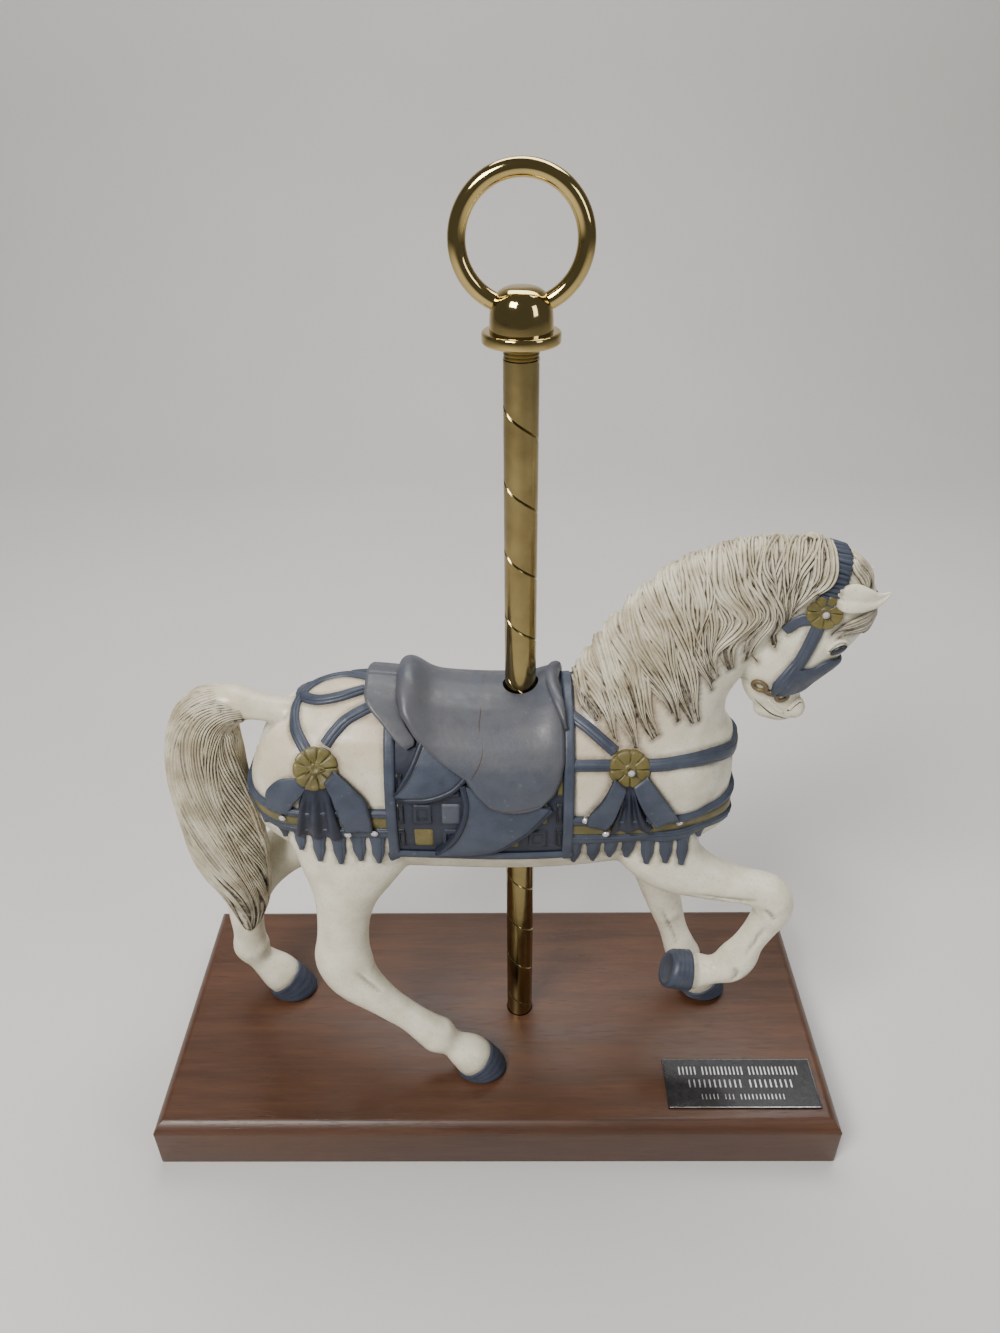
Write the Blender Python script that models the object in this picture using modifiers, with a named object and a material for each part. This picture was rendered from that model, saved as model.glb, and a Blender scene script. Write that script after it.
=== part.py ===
"""Souvenir carousel horse: a cast and painted horse on a brass pole, with a
walnut base, a nameplate and a ring finial. Metres, +Z up, origin at the
middle of the base's underside; the horse looks along +X and its showier
near side faces -Y."""
import math

import bmesh
import bpy
from mathutils import Matrix, Vector, geometry
from mathutils.bvhtree import BVHTree

# Base board
BASE_LENGTH = 0.324
BASE_WIDTH = 0.138
BASE_THICKNESS = 0.028
BASE_TOP_ROUND = 0.0062
BASE_CORNER_ROUND = 0.0020

# Nameplate
PLATE_LENGTH = 0.0725
PLATE_WIDTH = 0.0265
PLATE_THICKNESS = 0.0008
PLATE_CORNER = 0.0005
PLATE_END_MARGIN = 0.0080
PLATE_FRONT_MARGIN = 0.0095

# Pole
POLE_DIAMETER = 0.0127
POLE_PLACE = 0.0116
POLE_LENGTH = 0.3585
POLE_SOCKET_FLOOR = 0.0160
POLE_FIT_GAP = 0.0003
HORSE_BORE_GAP = 0.0006
THREAD_COUNT = 8
THREAD_PITCH = 0.00125
THREAD_DEPTH = 0.0004
THREAD_REST = 0.0010

# Ring finial
CAP_WALL = 0.0042
CAP_BORE_DEPTH = 0.0060
CAP_ROOF = 0.0124
CAP_FULLNESS = 3.1
FLANGE_OVERHANG = 0.0027
FLANGE_THICKNESS = 0.0041
RING_OUTER_DIAMETER = 0.0478
RING_TUBE_DIAMETER = 0.0060
RING_SINK = 0.0100

SEAT_GAP = 0.0003

# The horse is drawn on a grid of 288 steps to its length, from tail to ear.
# The grid's height starts at the floor when the base is 28 steps thick.
HORSE_LENGTH = 0.288
GRID_STEPS = 288.0
GRID_BASE_TOP = 28.0
GRID_POLE_X = 11.6
CLAY_VOXEL = 1.15
CARVING_VOXEL = 0.80
CLAY_SMOOTHING = 9
HORSE_FACE_COUNT = 6500

STEP = HORSE_LENGTH / GRID_STEPS
POLE_RADIUS = POLE_DIAMETER / 2


def clear_scene():
    for item in list(bpy.data.objects):
        bpy.data.objects.remove(item, do_unlink=True)


def new_collection(name):
    group = bpy.data.collections.new(name)
    bpy.context.scene.collection.children.link(group)
    return group


def finish_material(name, colour, roughness, metallic=0.0):
    material = bpy.data.materials.new(name)
    material.use_nodes = True
    shader = material.node_tree.nodes["Principled BSDF"]
    shader.inputs["Base Color"].default_value = (*colour, 1.0)
    shader.inputs["Roughness"].default_value = roughness
    shader.inputs["Metallic"].default_value = metallic
    return material


def add_object(name, mesh, group, material=None):
    item = bpy.data.objects.new(name, mesh)
    group.objects.link(item)
    if material:
        mesh.materials.append(material)
    return item


def mesh_from(build, name):
    """A mesh made by a function that fills a bmesh."""
    form = bmesh.new()
    build(form)
    bmesh.ops.recalc_face_normals(form, faces=form.faces)
    mesh = bpy.data.meshes.new(name)
    form.to_mesh(mesh)
    form.free()
    return mesh


def evaluated_mesh(item):
    graph = bpy.context.evaluated_depsgraph_get()
    return bpy.data.meshes.new_from_object(item.evaluated_get(graph))


def spot(x, y, z):
    """A place on the horse's drawing grid, in metres."""
    return Vector((POLE_PLACE + (x - GRID_POLE_X) * STEP, y * STEP,
                   BASE_THICKNESS + (z - GRID_BASE_TOP) * STEP))


def smooth_path(stations, steps):
    """Stations joined by a Catmull-Rom curve, each a tuple of equal length."""
    last = len(stations) - 1
    path = []
    for index in range(last):
        before = stations[max(index - 1, 0)]
        start, end = stations[index], stations[index + 1]
        after = stations[min(index + 2, last)]
        for part in range(steps):
            t = part / steps
            path.append(tuple(
                0.5 * (2 * b + (c - a) * t + (2 * a - 5 * b + 4 * c - d) * t * t
                       + (3 * b - a - 3 * c + d) * t ** 3)
                for a, b, c, d in zip(before, start, end, after)))
    path.append(tuple(stations[last]))
    return path


def loft(form, stations, sides=28, steps=4, ridges=0, ridge_depth=0.0, twist=0.0):
    """A limb through stations (x, y, z, half depth, half width).
    The depth lies in the horse's own plane and the width goes across it.
    Ridges run along it, like locks of hair, and wind by a twist at each ring."""
    path = smooth_path(stations, steps)
    centres = [spot(*row[:3]) for row in path]
    last = len(path) - 1
    rings = []
    for index, row in enumerate(path):
        along = (centres[min(index + 1, last)] - centres[max(index - 1, 0)]).normalized()
        deep = along.cross(Vector((0, 1, 0))).normalized()
        wide = deep.cross(along).normalized()
        ring = []
        for side in range(sides):
            angle = 2 * math.pi * side / sides
            groove = 0.5 - abs(math.sin(ridges * angle / 2 + twist * index))
            reach = STEP * (1 - ridge_depth * groove)
            place = (centres[index] + deep * (row[3] * reach * math.cos(angle))
                     + wide * (row[4] * reach * math.sin(angle)))
            ring.append(form.verts.new(place))
        rings.append(ring)
    for lower, upper in zip(rings, rings[1:]):
        for side in range(sides):
            after = (side + 1) % sides
            form.faces.new((lower[side], lower[after], upper[after], upper[side]))
    form.faces.new(rings[0][::-1])
    form.faces.new(rings[-1])


def muscle(form, x, y, z, rx, ry, rz, tilt=0.0, turn=0.0):
    """A soft swelling, an ellipsoid tilted in the horse's plane and turned about the upright."""
    place = (Matrix.Translation(spot(x, y, z)) @ Matrix.Rotation(math.radians(turn), 4, "Z")
             @ Matrix.Rotation(math.radians(-tilt), 4, "Y")
             @ Matrix.Diagonal((rx * STEP, ry * STEP, rz * STEP, 1)))
    bmesh.ops.create_uvsphere(form, u_segments=24, v_segments=14, radius=1.0, matrix=place)


# Stations of the horse: x, y, z, half depth, half width, on the drawing grid
BARREL = [(-103, 0, 190, 14, 10), (-98, 0, 189, 25, 17), (-90, 0, 187, 34, 24),
          (-78, 0, 186, 42, 30), (-62, 0, 185.5, 46.5, 33), (-42, 0, 185.5, 46, 34),
          (-20, 0, 184, 45, 34.5), (5, 0, 183, 44.5, 35), (28, 0, 184, 45, 34.5),
          (48, 0, 186, 45, 33), (66, 0, 187, 44, 30.5), (82, 0, 187, 40, 26.5),
          (93, 0, 187, 32, 21.5), (99, 0, 188, 23, 15), (101.5, 0, 188, 12, 9)]
NECK = [(56, 0, 193, 44.5, 30), (63.3, 0, 208, 40.6, 28), (65.3, 0, 222, 33.4, 24),
        (70.4, 0, 238, 29.2, 20), (79.8, 0, 253, 27.5, 17), (90.5, 0, 264.5, 26, 14.5),
        (101, 0, 272, 22.5, 13), (113, 0, 276, 18.5, 12), (124, 0, 277, 15, 11.5)]
HEAD = [(112, 0, 279, 14, 10), (128, 0, 280.5, 13, 11), (133, 0, 270, 17.5, 12.2),
        (125.5, 0, 256, 17.6, 12.3), (117.4, 0, 243, 15.6, 11.2), (116, 0, 232, 13.4, 9.3),
        (118, 0, 224, 9.5, 7.6), (119, 0, 218.5, 8.5, 7), (119, 0, 214.5, 5, 4.5)]
NEAR_HIND = [(-60, -15, 188, 33, 17), (-61, -19, 165, 29, 15), (-64, -21.5, 148, 21.5, 13),
             (-66.5, -23, 135, 15, 11.5), (-68.5, -24, 122, 12.2, 10), (-70, -25.5, 108, 12, 9.2),
             (-70.5, -27, 96, 13.5, 9.2), (-66, -28.5, 84, 12.2, 8.8), (-54, -31, 72, 9.2, 7.4),
             (-42, -33, 62.5, 8.4, 7), (-33, -34.5, 55, 9, 7.8), (-27, -35, 50, 9.4, 8.3),
             (-20, -35.5, 44.5, 7.9, 7.6), (-15, -36, 40, 8.6, 8.4)]
FAR_HIND = [(-58, 15, 188, 33, 17), (-64, 17, 165, 27, 15), (-76, 17, 147, 20, 13),
            (-90, 16.5, 134, 14.5, 11.5), (-104, 16, 123.5, 12.2, 9.6), (-117, 15, 112, 12.6, 9.2),
            (-124, 14, 99, 11.5, 8.6), (-126.5, 13, 84, 8.8, 7.4), (-127, 12.5, 70, 8.6, 7.2),
            (-127, 12, 61, 9.8, 8.4), (-123, 12, 51, 8.6, 7.8), (-117, 12, 43, 8.8, 8.4)]
NEAR_FORE = [(66, -15, 178, 24, 14), (70, -17, 162, 20, 13), (78, -19, 150, 16, 11.5),
             (90, -20.5, 143, 12.5, 9.8), (102, -21.5, 139, 10.5, 8.6), (113, -22.5, 136.5, 9.2, 8),
             (122, -23, 133, 9.8, 8.6), (126, -23, 124, 9.4, 8.4), (122.5, -23, 113, 8, 7.2),
             (118, -23, 102, 7.8, 6.8), (114.5, -23, 93, 8.8, 7.8), (109.5, -23, 85.5, 8.8, 8),
             (102, -23, 82.5, 7.8, 7.4), (95, -23, 82, 8.8, 8.6)]
FAR_FORE = [(62, 15, 176, 22, 14), (67, 15, 156, 18, 13), (71, 14.5, 138, 13.5, 11),
            (75.5, 14, 120, 10.8, 9.2), (80, 13.5, 104, 9.6, 8.6), (84.5, 13, 90, 8.6, 7.8),
            (89.5, 12.5, 74, 7.4, 6.8), (94, 12, 61, 8.2, 7.4), (97.5, 12, 52, 8.8, 8),
            (102.5, 11.5, 44, 7.8, 7.6), (105.5, 11, 39, 8.8, 8.6)]
TAIL = [(-80, 0, 216, 7, 7), (-92, 0, 219, 5.6, 6.4), (-100, 0, 221, 6, 7), (-109, 0, 222.5, 8.5, 8.5),
        (-119, 0, 217, 13.5, 10.5), (-124, -1, 202, 15.5, 12), (-125, -2, 183, 17, 12.5),
        (-123, -3, 160, 17.8, 12), (-121, -4, 139, 17, 11), (-118, -5, 122, 13, 9.5),
        (-118, -5, 108, 10, 7), (-119, -5, 97, 6.4, 4.5), (-120, -5, 89.5, 2, 1.5)]
TAIL_LOCKS = 14
TAIL_GROOVE = 0.13
TAIL_TWIST = 0.10
MUSCLES = [(-73, -9, 191, 30, 24, 31, 0, 0), (-73, 9, 191, 30, 24, 31, 0, 0),
           (-50, -14, 170, 20, 20, 24, 0, 0), (-50, 14, 170, 20, 20, 24, 0, 0),
           (70, -8, 195, 27, 23.5, 32, 20, 0), (70, 8, 195, 27, 23.5, 32, 20, 0),
           (86.5, -8, 184, 14, 14.5, 19, 0, 0), (86.5, 8, 184, 14, 14.5, 19, 0, 0),
           (113, -5, 243, 11.5, 8.2, 14, 15, 0), (113, 5, 243, 11.5, 8.2, 14, 15, 0),
           (134, -8.5, 256, 6, 5, 4.5, 40, 0), (134, 8.5, 256, 6, 5, 4.5, 40, 0),
           (125.3, -4.2, 221.5, 4.2, 4, 5, 0, 0), (125.3, 4.2, 221.5, 4.2, 4, 5, 0, 0),
           (114.5, 0, 220, 6, 5.6, 5, 30, 0)]
EAR = [(131, 11, 276, 5, 2.6), (137, 11.5, 277, 6.2, 3.4), (143, 11.5, 276.5, 5, 3),
       (147.5, 11, 276, 2.8, 2), (150.5, 10.5, 277, 0.7, 0.6)]


def mirrored(stations):
    return [(row[0], -row[1], *row[2:]) for row in stations]


def hoof(form, coronet, sole, sides=28):
    """A hoof between two rings, each a centre, a facing direction and two half sizes."""
    rings = []
    for centre, facing, deep_half, wide_half in (coronet, sole):
        along = Vector(facing).normalized()
        deep = along.cross(Vector((0, 1, 0))).normalized()
        wide = deep.cross(along).normalized()
        ring = []
        for side in range(sides):
            angle = 2 * math.pi * side / sides
            place = (spot(*centre) + deep * (deep_half * STEP * math.cos(angle))
                     + wide * (wide_half * STEP * math.sin(angle)))
            ring.append(form.verts.new(place))
        rings.append(ring)
    for side in range(sides):
        after = (side + 1) % sides
        form.faces.new((rings[0][side], rings[0][after], rings[1][after], rings[1][side]))
    form.faces.new(rings[0][::-1])
    form.faces.new(rings[1])


# Hooves: coronet and sole rings, each a centre, a facing, a half depth and a half width
HOOVES = [(((-15.5, -36, 41), (0.55, 0, -0.85), 9.6, 9.2), ((-6.5, -36, 28.5), (0, 0, -1), 11.8, 10.4)),
          (((-118, 12, 43.5), (0.6, 0, -0.8), 9.6, 9.2), ((-108, 12, 28.5), (0, 0, -1), 12, 10.4)),
          (((105, 11, 40), (0.4, 0, -0.9), 9.8, 9.2), ((108.5, 10.5, 30.5), (0, 0, -1), 12, 10.2)),
          (((96, -23, 82.5), (-1, 0, 0.05), 9.8, 9.4), ((80, -23, 84), (-0.95, 0, 0.25), 12, 10.4))]


def clay(form):
    for limb in (BARREL, NECK, HEAD, NEAR_HIND, FAR_HIND, NEAR_FORE, FAR_FORE, EAR, mirrored(EAR)):
        loft(form, limb)
    loft(form, TAIL, sides=96, steps=5, ridges=TAIL_LOCKS, ridge_depth=TAIL_GROOVE, twist=TAIL_TWIST)
    for row in MUSCLES:
        muscle(form, *row)
    for coronet, sole in HOOVES:
        hoof(form, coronet, sole)


def remeshed(item, voxel, smoothing):
    skin = item.modifiers.new("skin", "REMESH")
    skin.mode = "VOXEL"
    skin.voxel_size = voxel * STEP
    if smoothing:
        soft = item.modifiers.new("soft", "SMOOTH")
        soft.factor = 0.5
        soft.iterations = smoothing
    return evaluated_mesh(item)


# The barrel's axis, a distance outside all of it, and how far the pole's bore is cut
AXIS_HEIGHT = 185.0
OUTSIDE = 90.0
BORE_TOP = 262.0
BORE_LOW = 110.0


class Skin:
    """The clay's surface, which the tack and the hair are laid on."""

    def __init__(self, mesh):
        self.tree = BVHTree.FromPolygons([corner.co for corner in mesh.vertices],
                                         [tuple(face.vertices) for face in mesh.polygons])

    def around(self, x, angle, lift):
        """A place at x along the barrel and an angle down from its ridge, lifted off the skin."""
        turn = math.radians(angle)
        outward = Vector((0, -math.sin(turn), math.cos(turn)))
        start = spot(x, 0, AXIS_HEIGHT) + outward * (OUTSIDE * STEP)
        hit = self.tree.ray_cast(start, -outward)[0]
        return hit + outward * (lift * STEP)

    def nearest(self, place):
        hit, normal, _, _ = self.tree.find_nearest(place)
        return hit, normal

    def outermost(self, place, facing, radius):
        """How far out the skin reaches under a disc that looks along a facing."""
        across = facing.orthogonal().normalized()
        other = facing.cross(across)
        reach = []
        for step in range(9):
            turn = math.radians(45 * step)
            spread = (across * math.cos(turn) + other * math.sin(turn)) * (radius if step < 8 else 0)
            start = place + spread + facing * (OUTSIDE * STEP / 6)
            hit = self.tree.ray_cast(start, -facing)[0]
            if hit:
                reach.append((hit - place).dot(facing))
        return max(reach)


def drape(form, skin, outline, lift, sink=1.6, grain=3.0):
    """A sheet cut to an outline of (x, angle) corners and laid round the barrel.
    The lift is a number, or a function of x and angle."""
    raised = lift if callable(lift) else lambda x, angle: lift
    scale = 0.62
    ring = []
    for (x0, a0), (x1, a1) in zip(outline, outline[1:] + outline[:1]):
        count = max(1, round(math.hypot(x1 - x0, (a1 - a0) * scale) / grain))
        ring += [Vector((x0 + (x1 - x0) * k / count, a0 + (a1 - a0) * k / count)) for k in range(count)]
    low = Vector((min(v.x for v in ring), min(v.y for v in ring)))
    high = Vector((max(v.x for v in ring), max(v.y for v in ring)))
    across, down = grain, grain / scale
    inner = [Vector((low.x + across * (i + 0.5), low.y + down * (j + 0.5)))
             for i in range(int((high.x - low.x) / across))
             for j in range(int((high.y - low.y) / down))]
    inner = [v for v in inner if min((v - w).length for w in ring) > 0.45 * grain]
    edges = [(k, (k + 1) % len(ring)) for k in range(len(ring))]
    spots, _, faces, _, _, _ = geometry.delaunay_2d_cdt(ring + inner, edges, [], 1, 0.0001)
    outer = [form.verts.new(skin.around(v.x, v.y, raised(v.x, v.y))) for v in spots]
    under = [form.verts.new(skin.around(v.x, v.y, -sink)) for v in spots]
    used = set()
    for face in faces:
        form.faces.new([outer[k] for k in face])
        form.faces.new([under[k] for k in reversed(face)])
        used.update((face[k], face[(k + 1) % len(face)]) for k in range(len(face)))
    for first, second in used:
        if (second, first) not in used:
            form.faces.new((outer[second], outer[first], under[first], under[second]))


def band(form, skin, route, width, lift, sink=1.4, steps=5, ends=1.0):
    """A strap along a route of places near the skin, flat to the skin all the way.
    The ends may narrow to a share of the width, as a lock of hair does."""
    path = [spot(*row) for row in smooth_path(route, steps)]
    last = len(path) - 1
    corners = [(-1, -1), (-1, 0.45), (-0.72, 1), (0.72, 1), (1, 0.45), (1, -1)]
    rings = []
    for index, place in enumerate(path):
        along = (path[min(index + 1, last)] - path[max(index - 1, 0)]).normalized()
        hit, normal = skin.nearest(place)
        side = along.cross(normal).normalized()
        share = index / last
        taper = ends + (1 - ends) * min(1.0, 2.6 * (1 - share))
        ring = []
        for u, v in corners:
            rise = (lift if v > 0 else sink) * v * (0.5 + 0.5 * taper)
            ring.append(form.verts.new(hit + side * (u * taper * width / 2 * STEP) + normal * (rise * STEP)))
        rings.append(ring)
    count = len(corners)
    for lower, upper in zip(rings, rings[1:]):
        for k in range(count):
            after = (k + 1) % count
            form.faces.new((lower[k], lower[after], upper[after], upper[k]))
    form.faces.new(rings[0][::-1])
    form.faces.new(rings[-1])


def rosette(form, skin, place, radius, lift):
    """A flower boss: a disc with a petalled edge and a raised heart, square to the skin."""
    hit, normal = skin.nearest(spot(*place))
    turn = normal.to_track_quat("Z", "Y").to_matrix().to_4x4()
    for share, rise in ((1.0, lift), (0.42, lift * 1.45)):
        form_depth = (rise + 2.0) * STEP
        seat = Matrix.Translation(hit + normal * (form_depth / 2 - 2.0 * STEP)) @ turn
        made = bmesh.ops.create_cone(form, cap_ends=True, segments=6 * PETALS, radius1=radius * share * STEP,
                                     radius2=radius * share * 0.86 * STEP, depth=form_depth)
        for corner in made["verts"]:
            around = math.atan2(corner.co.y, corner.co.x)
            petal = 1 - PETAL_NOTCH * (0.5 - 0.5 * math.cos(PETALS * around)) ** 3
            corner.co = seat @ Vector((corner.co.x * petal, corner.co.y * petal, corner.co.z))


# Tack: outlines round the barrel are (x, angle) corners, routes are places near the skin
PANEL = (-43.5, 33.0, 121.0)
PANEL_BORDER = 4.2
PANEL_BORDER_ANGLE = 6.0
PANEL_LIFT = 1.5
BORDER_LIFT = 2.5
SKIRT = [(-39, 0), (-38.5, 14), (-36.5, 24), (-31, 34), (-21, 47), (-11, 57), (-7, 70), (2, 76), (11, 78),
         (20, 75), (26.5, 65), (28.5, 48), (28.5, 24), (27, 0)]
PAD = [(-52, 0), (-51.7, 6), (-50.8, 17), (-43.7, 28), (-37.2, 37), (-33.6, 40), (-31, 37), (-36.2, 28),
       (-40, 18), (-40, 0)]
LEAVES = [[(-29, 34), (-32, 46), (-35, 57), (-39.5, 66), (-33, 69.5), (-25, 69), (-17, 64), (-12, 56), (-20, 45)],
          [(-12, 60), (-10.5, 74), (-13, 90), (-17.5, 103), (-24, 113), (-12, 115), (-1, 111), (8, 102),
           (15, 92), (20, 78), (8, 70)]]
REAR_BELT = [(-104, 0, 186), (-102.5, -9, 185.5), (-97, -19, 185), (-88, -28, 184.5), (-78, -32, 184.8),
             (-62, -34, 185), (-42, -34, 185.2)]
FRONT_BELT = [(31, -34, 181.5), (44, -34, 180.5), (61, -33, 179), (77, -29, 178.3), (89, -23, 178.8),
              (97, -13, 179.5), (101, 0, 180)]
BELT_WIDTH = 14.0
BELT_LIFT = 1.3
GOLD_WIDTH = 5.6
GOLD_LIFT = 1.9
STRAPS = [[(-74, -25, 214), (-80, -16, 220), (-81.5, -8, 223.5), (-80.5, -2, 226), (-77, 4, 228),
           (-71, 8, 229.5), (-62, 8, 230.5), (-52, 4.5, 232)],
          [(-67, -23, 217.5), (-63, -20, 222), (-58, -16.7, 225.5), (-49, -13, 229.5)],
          [(31, -15, 227.3), (39.5, -20.5, 222.3), (49, -26, 215.5)],
          [(31, -29.5, 211), (50, -29, 210.5)],
          [(62, -29, 210.5), (75, -28, 212), (85, -24, 211), (92, -20, 210.7), (97, -14, 210.5), (100, -6, 209.5),
           (97.5, 0, 207.5)]]
STRAP_WIDTH = 4.6
STRAP_LIFT = 1.2
TONGUE_ROWS = [(-97.5, -48, 7, 101.0, 121.0), (41.6, 87, 7, 107.0, 130.0)]
TONGUE_WIDTH = 7.4
TONGUE_LIFT = 1.1
RIBBONS = [([(-77, 56), (-86, 56), (-92, 64), (-93, 73), (-90, 83), (-85, 84), (-82, 75), (-76, 68)], 2.3),
           ([(-75, 60), (-80, 88), (-82, 104), (-62, 102), (-63, 78), (-65, 62)], 2.0),
           ([(-65, 52), (-55, 62), (-50.5, 72), (-49.3, 84), (-49.5, 95), (-60.5, 95), (-63, 80), (-67, 62)], 2.7),
           ([(51, 57), (43.5, 73), (38.6, 82), (38.4, 88), (42, 93), (46, 94), (50, 84), (52, 74), (54, 62)], 2.6),
           ([(58, 57), (62, 57), (68, 68), (73.5, 81), (76, 91), (67, 97), (63, 85), (59, 73), (56, 62)], 2.6),
           ([(53, 62), (48.7, 94), (66.5, 97), (58, 62)], 2.0)]
PETALS = 8
PETAL_NOTCH = 0.14
ROSETTES = [((-71, -29, 210), 9.2, 2.4), ((55, -29, 209), 8.2, 2.4), ((127.5, -12, 271), 6.4, 1.8)]
BRIDLE = [([(127, 12, 277), (130, 9, 287), (131.5, 0, 292), (130, -9, 287), (127, -12, 277)], 6.4),
          ([(126, -13, 265), (123.2, -12.5, 255.5), (120.8, -12.3, 247), (114, -11, 234.5)], 5.4),
          ([(115, -10, 233.5), (122, -10.5, 238), (128.5, -9.5, 241), (132.5, -7, 247), (136, 0, 249.5),
            (132.5, 7, 247), (128.5, 9.5, 241)], 6.4),
          ([(125, -13, 268), (119, -12, 267), (114, -10, 262)], 4.4)]
BRIDLE_LIFT = 0.9
LOCKS = [[(36, -2, 236), (40, -10, 233), (38, -15, 228)], [(43, -2, 246), (46, -15, 238), (42, -20, 225)],
         [(49, -2, 255), (54, -15, 242), (50, -24, 220)], [(56, -2, 263), (61, -17, 245), (57, -25, 220)],
         [(63, -2, 271), (69, -17, 250), (67, -22, 228)], [(70, -2, 278), (76, -18, 252), (78, -22, 224)],
         [(77, -2, 284), (82, -17, 258), (85, -21, 224)], [(84, -2, 288), (87, -15, 266), (91, -19, 236)],
         [(91, -2, 291), (92, -14, 272), (86, -17, 256), (88, -18, 243)],
         [(98, -2, 294), (100, -13, 272), (95, -16, 256), (98, -14, 246)],
         [(105, -2, 295), (106, -13, 274), (108, -12, 253)], [(113, -2, 295), (112, -12, 280), (111, -12, 267)],
         [(121, -2, 293), (118, -11, 282), (116, -11, 270)]]
LOCK_WIDTH = 7.0
LOCK_LIFT = 1.6
FAR_LOCK_STATIONS = 2
STONES = [(55.6, -34, 210.5), (46, -33, 180.5), (77, -28, 181.5), (39, -34, 187.5), (-86, -30, 187.7),
          (-49, -34, 182.5), (-59.5, -33, 181.5), (126.3, -17.2, 271.8)]
STONE_DIAMETER = 0.0024
STONE_HEIGHT = 0.0013
STONE_CLEARANCE = 0.0003


def far_route(route):
    return [(row[0], -row[1], row[2]) for row in route]


def both_ways(outline):
    """An outline from the ridge down the near side, closed by its mirror on the far side."""
    return outline + [(x, -angle) for x, angle in reversed(outline[1:-1])]


def seat_lift(x, angle):
    cantle = 6.2 * math.exp(-((x + 35) / 6.5) ** 2) * math.exp(-(angle / 30) ** 2)
    pommel = 3.0 * math.exp(-((x - 25) / 5.0) ** 2) * math.exp(-(angle / 30) ** 2)
    return 4.4 + cantle + pommel


def lay_panel(form, skin):
    rear, front, low = PANEL
    drape(form, skin, [(rear, -low), (rear, low), (front, low), (front, -low)], PANEL_LIFT)
    inner_low = low - PANEL_BORDER_ANGLE
    for side in (-1, 1):
        drape(form, skin, [(rear, side * inner_low), (rear, side * low), (front, side * low),
                           (front, side * inner_low)], BORDER_LIFT)
        drape(form, skin, [(rear, side * 28), (rear, side * inner_low), (rear + PANEL_BORDER, side * inner_low),
                           (rear + PANEL_BORDER, side * 28)], BORDER_LIFT)
    drape(form, skin, [(front - PANEL_BORDER, -low), (front - PANEL_BORDER, low), (front, low), (front, -low)],
          BORDER_LIFT)


def lay_saddle(form, skin):
    drape(form, skin, both_ways(SKIRT), seat_lift, grain=2.5)
    drape(form, skin, both_ways(PAD), 4.6, grain=2.5)
    for side in (1, -1):
        for outline in LEAVES:
            drape(form, skin, [(x, side * angle) for x, angle in outline], 3.7)


def lay_harness(form, skin):
    for side in (1, -1):
        for route in (REAR_BELT, FRONT_BELT):
            laid = route if side > 0 else far_route(route)
            band(form, skin, laid, BELT_WIDTH, BELT_LIFT)
            band(form, skin, laid, GOLD_WIDTH, GOLD_LIFT)
        for route in STRAPS:
            band(form, skin, route if side > 0 else far_route(route), STRAP_WIDTH, STRAP_LIFT)
        for first, final, count, top, tip in TONGUE_ROWS:
            for index in range(count):
                x = first + (final - first) * index / (count - 1)
                wide = TONGUE_WIDTH / 2
                drape(form, skin, [(x - wide, side * top), (x - wide * 0.75, side * (top + 12)), (x, side * tip),
                                   (x + wide * 0.75, side * (top + 12)), (x + wide, side * top)], TONGUE_LIFT)
        for outline, lift in RIBBONS:
            drape(form, skin, [(x, side * angle) for x, angle in outline], lift)
        for place, radius, lift in ROSETTES:
            rosette(form, skin, (place[0], side * place[1], place[2]), radius, lift)
        for route, width in BRIDLE[1:]:
            band(form, skin, route if side > 0 else far_route(route), width, BRIDLE_LIFT)
    band(form, skin, BRIDLE[0][0], BRIDLE[0][1], BRIDLE_LIFT)


def lay_hair(form, skin):
    for route in LOCKS:
        band(form, skin, route, LOCK_WIDTH, LOCK_LIFT, steps=7, ends=0.25)
        short = far_route(route)[:FAR_LOCK_STATIONS]
        band(form, skin, short, LOCK_WIDTH, LOCK_LIFT, steps=7, ends=0.25)


def build_horse(parts, cutters):
    cream = finish_material("painted_cream", (0.72, 0.67, 0.56), 0.4)
    horse = add_object("horse", mesh_from(clay, "clay"), parts)
    clay_mesh = remeshed(horse, CLAY_VOXEL, CLAY_SMOOTHING)
    skin = Skin(clay_mesh)

    def dressed(form):
        form.from_mesh(clay_mesh)
        lay_panel(form, skin)
        lay_saddle(form, skin)
        lay_harness(form, skin)
        lay_hair(form, skin)

    horse.modifiers.clear()
    horse.data = mesh_from(dressed, "dressed")
    horse.data = remeshed(horse, CARVING_VOXEL, 1)
    horse.modifiers.clear()
    thin = horse.modifiers.new("fewer_faces", "DECIMATE")
    thin.ratio = HORSE_FACE_COUNT / (2 * len(horse.data.polygons))
    horse.data = evaluated_mesh(horse)
    horse.modifiers.clear()
    horse.data.materials.append(cream)
    bore_radius = POLE_RADIUS + HORSE_BORE_GAP
    top, low = spot(GRID_POLE_X, 0, BORE_TOP).z, spot(GRID_POLE_X, 0, BORE_LOW).z
    bore = turned("bore_for_pole", [(0, top), (bore_radius, top), (bore_radius, low), (0, low)], cutters, None)
    cut = horse.modifiers.new("pole_bore", "BOOLEAN")
    cut.operation = "DIFFERENCE"
    cut.object = bore
    return Skin(evaluated_mesh(horse))


def turned(name, profile, group, material, sides=28, place=POLE_PLACE):
    """A turned shape on the pole's axis, from a profile of radius and height."""
    mesh = bpy.data.meshes.new(name)
    corners = [(radius, 0, height) for radius, height in profile]
    mesh.from_pydata(corners, [(k, k + 1) for k in range(len(corners) - 1)], [])
    item = add_object(name, mesh, group, material)
    item.location = (place, 0, 0)
    screw = item.modifiers.new("turn", "SCREW")
    screw.steps = sides
    screw.render_steps = sides
    screw.use_merge_vertices = True
    screw.merge_threshold = 0.00002
    screw.use_smooth_shade = True
    if group.name == "cutters":
        item.hide_render = True
        item.display_type = "WIRE"
    return item


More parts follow.
